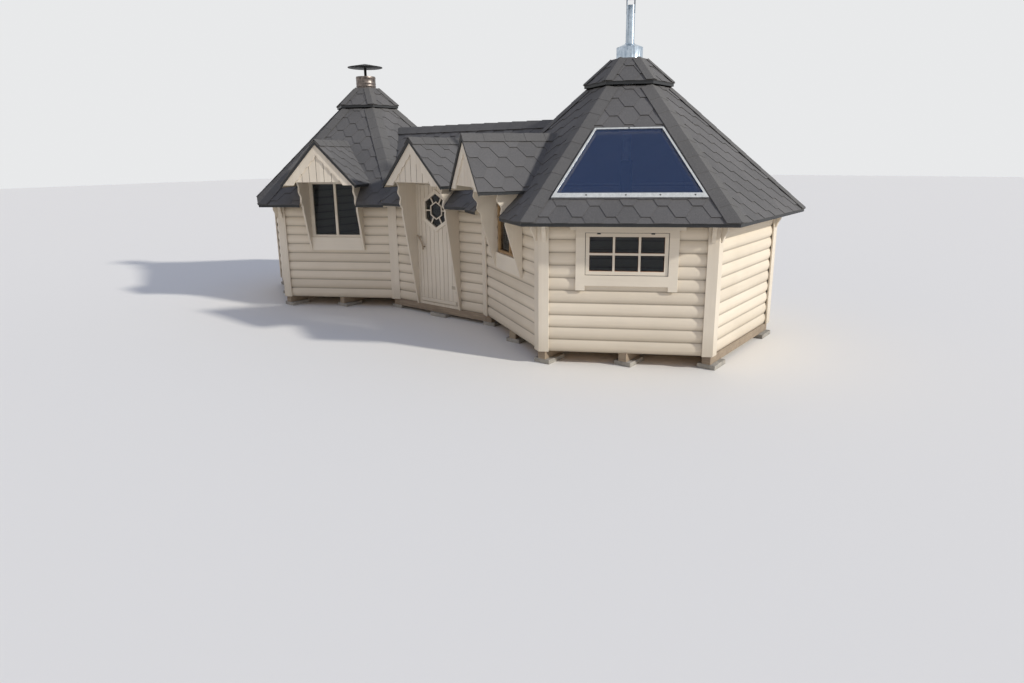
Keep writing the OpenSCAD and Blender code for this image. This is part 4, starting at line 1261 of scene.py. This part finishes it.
@dataclass
class Dormer:
    """Roof, gable and cheeks of one dormer: shingles, ridge strips, black rakes, upright gable boards."""

    side: str
    x: float
    angle: float
    out: float
    reach: float
    behind: Mass
    seed: int
    rear: float = -0.95
    lip: float = 0.006
    pitch: float = 0.108
    joint: float = 0.007

    @property
    def wall(self) -> Place:
        """Place of the wall that the dormer stands on."""
        return wall_place(self.x, self.angle, self.out)

    @property
    def front(self) -> float:
        """Distance of the front of the dormer roof from the wall."""
        return self.reach + 0.014

    def slope(self, side: int) -> Place:
        """Place of one roof face, with its origin at its front eave corner, or at the rear one on the left.

        Args:
            side: -1 for the left face, 1 for the right one.

        Returns:
            The place.
        """
        c, s = math.cos(PLAN.dormer_pitch), math.sin(PLAN.dormer_pitch)
        up = -side * c * self.wall.u + s * self.wall.v
        out = side * s * self.wall.u + c * self.wall.v
        corner = self.wall.at(np.array([side * PLAN.dormer_half, PLAN.dormer_z(PLAN.dormer_half), self.front]))
        return Place(corner, np.cross(up, out), up)

    def shingles(self, paint: Paintbox) -> None:
        """Tabs on both faces, cut where they meet the roof behind.

        Args:
            paint: the finishes.
        """
        length = PLAN.dormer_half / math.cos(PLAN.dormer_pitch)
        field_ = ShingleField()
        sheets = []
        for side in (-1, 1):
            slope = self.slope(side)
            keep = (slope.beyond(0, -1, v=-0.010), slope.beyond(0, 1, v=length + 0.002),
                    self.wall.beyond(0, 0, n=self.front + self.lip, dn=1), self.wall.beyond(0, 0, n=self.rear, dn=-1))
            rows = field_.rows(slope.shifted(u=side * 0.06), 4.4, length, 0.10, self.seed + side)
            sheets.append(trim(rows, keep, [self.behind]))
        made = piece(f"{self.side}_dormer_shingles", merged(sheets), paint.shingle)
        thicken(made, field_.thick, paint.felt_edge_and_joint_shade)

    def ridge(self, paint: Paintbox) -> None:
        """Folded strips along the dormer ridge.

        Args:
            paint: the finishes.
        """
        caps = FoldedCaps(half=0.10, length=0.24, lift=0.021)
        low = self.wall.at(np.array([0, PLAN.dormer_ridge, self.front + self.lip]))
        high = self.wall.at(np.array([0, PLAN.dormer_ridge, self.rear]))
        strips = trim(caps.chain(low, high, (self.slope(-1).n, self.slope(1).n), self.seed + 5), (), [self.behind])
        thicken(piece(f"{self.side}_dormer_ridge_strips", strips, paint.cap_shingle), caps.thick)

    def rakes(self, paint: Paintbox) -> None:
        """Black strips folded over the front edge and the eaves of the dormer roof.

        Args:
            paint: the finishes.
        """
        parts = []
        drop, rise, reach = (PLAN.dormer_t + 0.004) / math.cos(PLAN.dormer_pitch), 0.010, PLAN.dormer_half + 0.003
        z = PLAN.dormer_z(PLAN.dormer_half)
        for side in (-1, 1):
            outline = np.array([[0, PLAN.dormer_z(0) - drop], [side * reach, PLAN.dormer_z(reach) - drop],
                                [side * reach, PLAN.dormer_z(reach) + rise], [0, PLAN.dormer_z(0) + rise]])
            parts.append(prism(self.wall, outline[::side], self.reach + 0.0005, self.front + 0.003))
            u = sorted((side * PLAN.dormer_half, side * reach))
            parts.append(blocks(self.wall, [[u[0], z - 0.036, -0.12]], [[u[1], z + 0.004, self.reach]]))
        piece(f"{self.side}_dormer_rakes", merged(parts), paint.drip)

    def gable_boards(self, paint: Paintbox, finish: bpy.types.Material) -> None:
        """Upright boards that fill the gable behind the bargeboards, with open joints between them.

        Args:
            paint: the finishes.
            finish: the finish of the boards.
        """
        n, half, above = self.reach - PLAN.board_t, PLAN.cheek_out, 2.45
        left = np.arange(-5, 5) * self.pitch - 0.0125
        sheet = rectangles(self.wall, left, left + self.pitch - self.joint, PLAN.soffit - 0.004, above, n + 0.006)
        keep = gable_mass(self.wall, half, -(PLAN.dormer_t + 0.004))
        made = thicken(piece(f"{self.side}_gable_boards", trim(sheet, keep), finish), 0.0062)
        bevel(made, 0.0016, 1)
        # A dark sheet just behind the boards is painted shade in their open joints.
        dark = trim(rectangles(self.wall, -half, half, PLAN.soffit + 0.001, above, n + 0.0006), keep)
        thicken(piece(f"{self.side}_gable_joint_shade", dark, paint.felt_edge_and_joint_shade), 0.0005)

    def build(self, paint: Paintbox, finish: bpy.types.Material) -> None:
        """Builds one dormer in the given board finish.

        Args:
            paint: the finishes.
            finish: the finish of the boards.
        """
        self.shingles(paint)
        self.ridge(paint)
        self.rakes(paint)
        self.gable_boards(paint, finish)
        softened(f"{self.side}_dormer_woodwork", f"{self.side}_dormer_front", finish)
        dress(f"{self.side}_dormer_roof", paint.roof_boards)
        log.info("%s dormer: shingles, rakes, gable boards and woodwork", self.side)


# ------------------------------------------------------------------ metalwork


@dataclass
class Chimneys:
    """Sleeves on the vent caps, the flue of the right hut, the hat of the left one, and the right hut's smoke hood."""

    radius: float = 0.155
    bead: float = 0.004

    def ring(self, z: float) -> list[tuple[float, float]]:
        """Profile of a rolled bead 24 mm high, from z up."""
        return [(self.radius + self.bead * math.sin(math.pi * k / 6), z + 0.004 * k) for k in range(7)]

    def sleeve(self, side: str, x: float, high: float, cone: float, bore: float, flutes: int,
               material: bpy.types.Material) -> None:
        """Sleeve with a skirt on the cap, beads or flutes, a cone if it has one, and a lid round its pipe.

        Args:
            side: the hut's side.
            x: the hut's middle.
            high: the height of the upright wall above the cap.
            cone: the height of the cone above that.
            bore: the radius of the pipe in it.
            flutes: the number of upright flutes round it, or 0 for beads.
            material: its finish.
        """
        base = PLAN.cap_z(PLAN.cap_top_r * COS30)
        r, top, tip = self.radius, base + high, base + high + cone
        belt = [*self.ring(base + 0.030), *self.ring(base + 0.072), *self.ring(top - 0.034)]
        if flutes:
            belt = [(r, base + 0.022), (r, top - 0.012)]
        profile = [(bore, base - 0.03), (r, base - 0.03), (r, base + 0.001), (r + 0.012, base + 0.001),
                   (r + 0.012, base + 0.004), (r, base + 0.012), *belt, (r, top), (bore + 0.006, tip + 0.001),
                   (bore + 0.006, tip + 0.010), (bore, tip + 0.010)]
        mesh = revolve(np.array([x, 0, 0]), profile, 144 if flutes else 72)
        if flutes:
            self.flute(mesh, x, base + 0.018, top - 0.008, flutes)
        seam = Place(np.array([x, 0, 0]) + r * turn(-62.0), turn(28.0), UP)
        lap = blocks(seam, [[-0.009, base + 0.012, -0.002]], [[0.009, top - 0.004, 0.0025]])
        made = piece(f"{side}_sleeve_sheet", merged([mesh, lap]), material, smooth=32)
        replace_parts(made, f"{side}_sleeve")

    def flute(self, mesh: bpy.types.Mesh, x: float, low: float, high: float, count: int) -> None:
        """Presses upright flutes into the wall between two heights: r becomes r - bead (1 + cos(count t)) / 2.

        Args:
            mesh: the mesh.
            x: the middle of the sleeve.
            low: the lower height.
            high: the upper height.
            count: the number of flutes.
        """
        flat = np.empty(3 * len(mesh.vertices))
        mesh.vertices.foreach_get("co", flat)
        co = flat.reshape(-1, 3)
        off = co[:, :2] - (x, 0.0)
        r = np.hypot(off[:, 0], off[:, 1])
        wall = (co[:, 2] > low) & (co[:, 2] < high) & (r > self.radius - 0.001)
        shrink = 1 - self.bead * (1 + np.cos(count * np.arctan2(off[:, 1], off[:, 0]))) / 2 / np.maximum(r, 0.01)
        co[wall, :2] = off[wall] * shrink[wall, None] + (x, 0.0)
        mesh.vertices.foreach_set("co", co.ravel())

    def hood(self, paint: Paintbox) -> None:
        """Smoke hood behind the roof window: a bright pipe down from the vent cap, a wider black pipe and its cone.

        Args:
            paint: the finishes.
        """
        centre, top = np.array([PLAN.hub, 0.0, 0.0]), PLAN.cap_z(0.15) - 0.03
        pipe = [(0.047, 2.09), (0.050, 2.09), (0.050, top), (0.047, top)]
        piece("hood_pipe_bright", revolve(centre, np.array(pipe), 40), paint.pipe, smooth=35)
        skin = [(0.072, 1.62), (0.30, 1.36), (0.30, 1.32), (0.303, 1.32), (0.303, 1.362), (0.075, 1.622), (0.075, 2.14),
                (0.051, 2.14), (0.051, 2.137), (0.072, 2.137)]
        piece("hood_pipe_black", revolve(centre, np.array(skin), 48), paint.black_steel, smooth=30)

    def build(self, paint: Paintbox) -> None:
        """Builds the metalwork on both caps.

        Args:
            paint: the finishes.
        """
        self.sleeve("left", -PLAN.hub, 0.192, 0.0, 0.0215, 0, paint.copper)
        self.sleeve("right", PLAN.hub, 0.138, 0.040, 0.0505, 24, paint.bright)
        smoothed("flue_pipe", "flue", paint.bright)
        self.hood(paint)
        smoothed("chimney_hat_sheet", "chimney_hat", paint.black_steel)
        log.info("sleeves, flue, smoke hood and chimney hat")


# ------------------------------------------------------------------ door and windows


def hexagon(radius: float, middle: float) -> Array:
    """Corners of a hexagon with a point at its top, anticlockwise, round (0, middle)."""
    t = np.radians(np.arange(30, 390, 60))
    return np.stack([radius * np.cos(t), middle + radius * np.sin(t)], 1)


@dataclass
class Door:
    """Boarded door leaf with a hexagonal window, its frame and its fittings."""

    width: float = 0.700
    low: float = 0.189
    high: float = 1.842
    window: float = 0.235
    trim_w: float = 0.052
    middle: float = 1.492
    joints: tuple[float, ...] = (-0.350, -0.298, -0.217, -0.136, -0.055, 0.026, 0.107, 0.188, 0.269, 0.350)

    def hole(self, radius: float) -> Mass:
        """Mass of the window hole.

        Args:
            radius: the distance of the corners from the middle.

        Returns:
            The mass.
        """
        out = []
        for angle in range(0, 360, 60):
            a = math.radians(angle)
            r = radius * COS30
            out.append(DOOR_WALL.beyond(math.cos(a), math.sin(a), u=r * math.cos(a), v=self.middle + r * math.sin(a)))
        return tuple(out)

    def layer(self, name: str, joints: Sequence[float], gap: float, n: float, depth: float,
              material: bpy.types.Material) -> bpy.types.Object:
        """One layer of the leaf: boards side by side with gaps, and the window hole cut out.

        Args:
            name: its name.
            joints: the edges of the boards, from left to right.
            gap: the gap between two boards.
            n: the height of its face.
            depth: the thickness.
            material: the finish.

        Returns:
            The piece.
        """
        edge = np.array(joints)
        u1, u2 = edge[:-1] + gap / 2, edge[1:] - gap / 2
        u1[0], u2[-1] = -self.width / 2, self.width / 2
        sheet = trim(rectangles(DOOR_WALL, u1, u2, self.low, self.high, n), (), [self.hole(self.window)])
        return thicken(piece(name, sheet, material, "door"), depth)

    def ring(self, inner: float, outer: float, n1: float, n2: float, gap: float = 0.0) -> bpy.types.Mesh:
        """Six mitred strips between two hexagons, each its own closed block.

        Args:
            inner: the radius of the inner hexagon.
            outer: the radius of the outer hexagon.
            n1: the height of the back.
            n2: the height of the front.
            gap: the open width at each end of a strip.

        Returns:
            The mesh.
        """
        a, b = hexagon(inner, self.middle), hexagon(outer, self.middle)
        parts = []
        for k in range(6):
            j = (k + 1) % 6
            along = (b[j] - b[k]) / np.linalg.norm(b[j] - b[k])
            outline = np.array([a[k] + along * gap, b[k] + along * gap, b[j] - along * gap, a[j] - along * gap])
            parts.append(prism(DOOR_WALL, outline, n1, n2))
        return merged(parts)

    def build(self, paint: Paintbox) -> None:
        """Builds the leaf, its window trim and bars, its rail, and dresses its fittings.

        Args:
            paint: the finishes.
        """
        boards, rails = paint.upright[0], paint.lying[0]
        bevel(self.layer("door_boards_outside", self.joints, 0.005, 0.0, 0.012, boards), 0.0022)
        self.layer("door_core", self.joints[::len(self.joints) - 1], 0.0, -0.0118, 0.0184, boards)
        bevel(self.layer("door_boards_inside", self.joints, 0.004, -0.030, 0.012, boards), 0.0022)
        trims = [self.ring(self.window - 0.004, self.window + self.trim_w, n1, n2, 0.0004)
                 for n1, n2 in ((0.0003, 0.014), (-0.056, -0.0423))]
        outside = bevel(piece("door_window_trim", trims[0], rails, "door"), 0.003)
        bevel(piece("door_window_trim_inside", trims[1], rails, "door"), 0.003)
        self.bars(paint)
        rail = blocks(DOOR_WALL, [[-0.338, self.low + 0.012, 0.0003]], [[0.338, self.low + 0.058, 0.013]])
        bevel(piece("door_foot_rail", rail, rails, "door"), 0.003)
        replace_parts(outside, "door_leaf")
        dress("door_glass", paint.clear)
        smoothed("door_handle_branch", "door_handle", paint.handle, "door", 40)
        smoothed("door_hinge_knuckles", "door_knuckles", paint.hinge, "door")
        smoothed("door_hinge_pins", "hinge_pins", paint.hinge)
        boarded("door_frame_boards", "door_frame", boards, rails)
        log.info("door: boards, window trim, bars, rail and fittings")

    def bars(self, paint: Paintbox) -> None:
        """Glazing bars: an inner hexagon and six spokes to the middles of the outer sides.

        Args:
            paint: the finishes.
        """
        inner, bar, behind = self.window / 2, 0.018, -0.012
        start, end = (inner + bar / 2) * COS30 - 0.002, self.window * COS30 + 0.004
        parts = [self.ring(inner - bar / 2, inner + bar / 2, behind, 0.004)]
        for angle in range(0, 360, 60):
            c, s = math.cos(math.radians(angle)), math.sin(math.radians(angle))
            spoke = Place(DOOR_WALL.at(np.array([0, self.middle, 0])), c * DOOR_WALL.u + s * DOOR_WALL.v,
                          -s * DOOR_WALL.u + c * DOOR_WALL.v)
            parts.append(blocks(spoke, [[start, -bar / 2, behind]], [[end, bar / 2, 0.0035]]))
        bevel(piece("door_window_bars", merged(parts), paint.lying[0], "door"), 0.0016)


@dataclass
class Windows:
    """Bay windows, the right window with its casing, and the roof window."""

    def bays(self, paint: Paintbox) -> None:
        """Eases the edges of the two bay windows.

        Args:
            paint: the finishes.
        """
        softened("left_bay_sash", "left_bay_window", paint.lying[30], 0.0022)
        made = softened("right_bay_sash", "right_bay_window", paint.sash, 0.0022)
        # The board below the sash is painted as the wall is.
        self.recoat(made, paint.lying[150], lambda middle, normal: middle[:, 2] < 1.065)

    def recoat(self, made: bpy.types.Object, finish: bpy.types.Material,
               which: Callable[[Array, Array], Array]) -> None:
        """Gives some faces of a piece another finish.

        Args:
            made: the piece.
            finish: the other finish.
            which: from the middles and the normals of all faces, true for each face that takes it.
        """
        mesh = made.data
        mesh.materials.append(finish)
        middle, normal = np.empty((2, 3 * len(mesh.polygons)), np.float32)
        mesh.polygons.foreach_get("center", middle)
        mesh.polygons.foreach_get("normal", normal)
        chosen = which(middle.reshape(-1, 3), normal.reshape(-1, 3))
        mesh.polygons.foreach_set("material_index", chosen.astype(np.int32))

    def right(self, paint: Paintbox) -> None:
        """Right window: eased sash, bare edges round its panes, casing, painted shade in the sash's gap and two hinges.

        Args:
            paint: the finishes.
        """
        wall = wall_place(PLAN.hub, 300, PLAN.ap)
        made = softened("right_window_sash", "right_window", paint.lying[30], 0.0022)
        self.recoat(made, paint.bare, lambda middle, normal: (np.abs(normal @ wall.n) < 0.5)
                    & (np.abs((middle - wall.origin) @ wall.u) < 0.40) & (np.abs(middle[:, 2] - 1.215) < 0.19))
        w, low, high, wide, n1, n2 = 0.4246, 0.9924, 1.4376, 0.005, 0.0091, 0.0102
        # A dark strip in the gap round the sash is painted shade.
        gap = blocks(wall, [[-w, low, n1], [w - wide, low, n1], [-w + wide, low, n1], [-w + wide, high - wide, n1]],
                     [[-w + wide, high, n2], [w, high, n2], [w - wide, low + wide, n2], [w - wide, high, n2]])
        piece("right_window_gap_shade", gap, paint.drip)
        across = Place(wall.at(np.array([0, high + 0.001, 0.0145])), wall.v, wall.n)
        hinges, half = (-0.286, 0.260), 0.019
        parts = [blocks(wall, [[u - half, high - 0.017, 0.0103] for u in hinges],
                        [[u + half, high - 0.001, 0.0122] for u in hinges])]
        parts += [prism(across, disc(0.0048, 14), u - half, u + half) for u in hinges]
        bevel(piece("right_window_hinges", merged(parts), paint.drip), 0.0008, 1)
        boarded("right_window_boards", "right_window_casing", paint.upright[30], paint.lying[30])

    def roof(self, paint: Paintbox) -> None:
        """Roof window: rails with screws, and the tinted pane.

        Args:
            paint: the finishes.
        """
        softened("roof_window_rails", "roof_window_frame", paint.rail, 0.0018)
        slope = hut_slope(PLAN.hub, 300)
        spots = [(-0.421, 0.333), (-0.028, 0.333), (0.310, 0.333), (0.647, 0.333), (0.0, 1.279)]
        parts = [prism(slope.shifted(u=u, v=v), disc(0.009, 20), 0.0402, 0.0418) for u, v in spots]
        parts += [prism(slope.shifted(u=u, v=v), disc(0.0055, 6), 0.0417, 0.0462) for u, v in spots]
        bevel(piece("roof_window_screws", merged(parts), paint.black_steel), 0.0006, 1)
        dress("roof_window_pane", paint.tinted)

    def build(self, paint: Paintbox) -> None:
        """Builds all the windows.

        Args:
            paint: the finishes.
        """
        self.bays(paint)
        self.right(paint)
        self.roof(paint)
        dress("window_glass", paint.clear)
        log.info("windows: bays, right window, roof window")


# ------------------------------------------------------------------ walls and base


@dataclass
class Walls:
    """Log walls, corner boards, brackets, floors, bearers and pads."""

    joint: float = 0.0115
    deeper: float = 0.7

    FACES: ClassVar[dict[str, tuple[float, int]]] = {
        "left_window_wall": (-PLAN.hub, 300), "left_front_wall": (-PLAN.hub, 240), "left_end_wall": (-PLAN.hub, 180),
        "left_rear_wall": (-PLAN.hub, 120), "left_inner_wall": (-PLAN.hub, 60), "link_wall_left": (0.0, 270),
        "link_wall_right": (0.0, 270), "link_back_wall": (0.0, 90), "right_bay_wall": (PLAN.hub, 240),
        "right_window_wall": (PLAN.hub, 300), "right_end_wall": (PLAN.hub, 0), "right_rear_wall": (PLAN.hub, 60),
        "right_inner_wall": (PLAN.hub, 120)}

    def rounded(self, node: str, x: float, angle: int, paint: Paintbox) -> None:
        """Copy of a log wall with deeper joints, shown in its place.

        A point at depth d behind the crown of the logs moves to depth (1 + deeper) d, down to the depth of the source's
        joints, so that the logs are as round as they look, and the crowns and the wall's inside stay where they are.

        Args:
            node: the wall's CAD node.
            x: the middle of the hut, or 0 for the passage.
            angle: the direction that the wall faces, in degrees.
            paint: the finishes.
        """
        place = wall_place(x, angle, PLAN.ap if x else PLAN.side / 2)
        mesh = cad_copy(node)
        points = np.empty(3 * len(mesh.vertices), np.float32)
        mesh.vertices.foreach_get("co", points)
        points = points.reshape(-1, 3)
        depth = (place.origin - points) @ place.n
        points = points - np.outer(np.where(depth < self.joint, self.deeper * depth, 0.0), place.n)
        mesh.vertices.foreach_set("co", points.astype(np.float32).ravel())
        made = piece(f"{node}_logs", mesh, paint.logs[(angle + 90) % 180])
        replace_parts(made, node)

    def build(self, paint: Paintbox) -> None:
        """Dresses the walls and eases the boards.

        Args:
            paint: the finishes.
        """
        for node, (x, angle) in self.FACES.items():
            self.rounded(node, x, angle, paint)
        softened("passage_posts", "link_posts", paint.upright[0], 0.002)
        for side in ("left", "right"):
            softened(f"{side}_corner_trim", f"{side}_corner_boards", paint.upright[0], 0.0025)
            softened(f"{side}_eave_brackets", f"{side}_brackets", paint.upright[0], 0.0025)
            dress(f"{side}_floor", paint.floor)
            softened(f"{side}_bearer_beams", f"{side}_bearers", paint.bearer, 0.003)
        dress("link_floor", paint.floor)
        softened("passage_bearer_beams", "link_bearers", paint.bearer, 0.003)
        softened("concrete_pads", "foundation_pads", paint.concrete, 0.005)
        log.info("walls, corner boards, brackets, floors, bearers and pads")


# ------------------------------------------------------------------ stage


@dataclass
class Stage:
    """Camera where the photograph was taken from, a plain floor, one sun lamp and a pale world."""

    eye: tuple[float, float, float] = (6.4253, -7.2588, 2.2242)
    azimuth: float = 39.0187
    down: float = 13.4495
    roll: float = 0.7004
    lens: float = 22.811
    shift: tuple[float, float] = (0.00263, -0.03067)

    def camera(self) -> None:
        """Camera turned by azimuth, tilt and roll, all fitted to the log joints of the photograph."""
        az, th, ro = (math.radians(a) for a in (self.azimuth, self.down, self.roll))
        forward = np.array([-math.sin(az) * math.cos(th), math.cos(az) * math.cos(th), -math.sin(th)])
        right = np.array([math.cos(az), math.sin(az), 0.0])
        below = np.cross(forward, right)
        across = math.cos(ro) * right + math.sin(ro) * below
        under = -math.sin(ro) * right + math.cos(ro) * below
        data = bpy.data.cameras.new("camera")
        data.lens, data.sensor_width, data.sensor_fit = self.lens, 36.0, "HORIZONTAL"
        data.shift_x, data.shift_y = self.shift
        data.clip_end = 200.0
        made = bpy.data.objects.new("camera", data)
        turned = np.eye(4)
        turned[:3, 0], turned[:3, 1], turned[:3, 2], turned[:3, 3] = across, -under, -forward, self.eye
        made.matrix_world = Matrix(turned.tolist())
        bpy.context.scene.collection.objects.link(made)
        bpy.context.scene.camera = made

    def floor(self) -> None:
        """Wide pale floor that keeps the shadow."""
        size = 60.0
        level = Place(np.zeros(3), np.array([1.0, 0.0, 0.0]), np.array([0.0, 1.0, 0.0]))
        mesh = rectangles(level, -size, size, -size, size, -0.0005)
        material, tree, shader = blank("pale_studio_floor")
        feed(tree, shader, {"Base Color": "#e6e2da", "Roughness": 0.9})
        mesh.materials.append(material)
        made = bpy.data.objects.new("studio_floor", mesh)
        bpy.context.scene.collection.objects.link(made)

    def lamp(self, name: str, towards: tuple[float, float, float], energy: float, spread: float, colour: str) -> None:
        """Sun lamp that shines along a direction, with soft shadows.

        Args:
            name: its name.
            towards: the direction that the light runs in.
            energy: the strength.
            spread: the angle that the lamp fills, in degrees.
            colour: its hex colour.
        """
        data = bpy.data.lights.new(name, "SUN")
        data.energy, data.angle, data.color = energy, math.radians(spread), linear(colour)[:3]
        made = bpy.data.objects.new(name, data)
        back = -np.array(towards) / np.linalg.norm(towards)
        side = np.cross(UP, back)
        side /= np.linalg.norm(side)
        turned = np.eye(4)
        turned[:3, 0], turned[:3, 1], turned[:3, 2] = side, np.cross(back, side), back
        made.matrix_world = Matrix(turned.tolist())
        bpy.context.scene.collection.objects.link(made)

    def world(self) -> None:
        """Light on the building, warm from the sides and cool from above, and a pale sky for camera and reflections."""
        world = bpy.data.worlds.new("studio")
        world.use_nodes = True
        tree = world.node_tree
        tree.nodes.clear()
        path = add(tree, "ShaderNodeLightPath")
        first = add(tree, "ShaderNodeMath", {0: path.outputs["Is Camera Ray"], 1: path.outputs["Is Glossy Ray"]},
                    operation="MAXIMUM")
        seen = add(tree, "ShaderNodeMath", {0: first, 1: path.outputs["Is Transmission Ray"]}, operation="MAXIMUM")
        where = add(tree, "ShaderNodeTexCoord").outputs["Generated"]
        split = add(tree, "ShaderNodeSeparateXYZ", {"Vector": where})
        high = add(tree, "ShaderNodeMapRange", {"Value": split.outputs["Z"], "From Max": 0.8})
        sky = add(tree, "ShaderNodeMix", {"Factor": high, COLOUR_A: "#fff2e0", COLOUR_B: "#93a6cc"}, data_type="RGBA")
        soft = add(tree, "ShaderNodeBackground", {"Color": sky.outputs[MIXED], "Strength": 0.92})
        pale = add(tree, "ShaderNodeBackground", {"Color": "#f1f2f3", "Strength": 0.92})
        mix = add(tree, "ShaderNodeMixShader", {0: seen, 1: soft, 2: pale})
        add(tree, "ShaderNodeOutputWorld", {"Surface": mix})
        bpy.context.scene.world = world

    def build(self) -> None:
        """Sets up the stage."""
        self.camera()
        self.floor()
        self.lamp("key_sun", (-0.864, -0.184, -0.469), 3.1, 3.0, "#fffdf8")
        self.world()
        bpy.context.scene.view_settings.view_transform = "Standard"
        log.info("camera, floor, lamp and world")


# ------------------------------------------------------------------ main


def main() -> None:
    """Builds the visual model in order."""
    paint = Paintbox()
    log.info("finishes")
    Walls().build(paint)
    HutRoof("left", -PLAN.hub, towards_link=0, dormer=300).build(paint)
    HutRoof("right", PLAN.hub, towards_link=180, dormer=240, window=300).build(paint)
    PassageRoof().build(paint)
    Dormer("left", -PLAN.hub, 300, PLAN.ap, 0.530, hut_mass(-PLAN.hub, DORMER_CUT), 501).build(paint, paint.upright[30])
    Dormer("door", 0.0, 270, PLAN.side / 2, 0.437, link_mass(DORMER_CUT), 521).build(paint, paint.upright[0])
    Dormer("right", PLAN.hub, 240, PLAN.ap, 0.530, hut_mass(PLAN.hub, DORMER_CUT), 541).build(paint, paint.upright[150])
    Chimneys().build(paint)
    Door().build(paint)
    Windows().build(paint)
    Stage().build()
    log.info("boxes written")


if __name__ == "__main__":
    logging.basicConfig(level=logging.INFO, format="%(name)s: %(message)s")
    main()
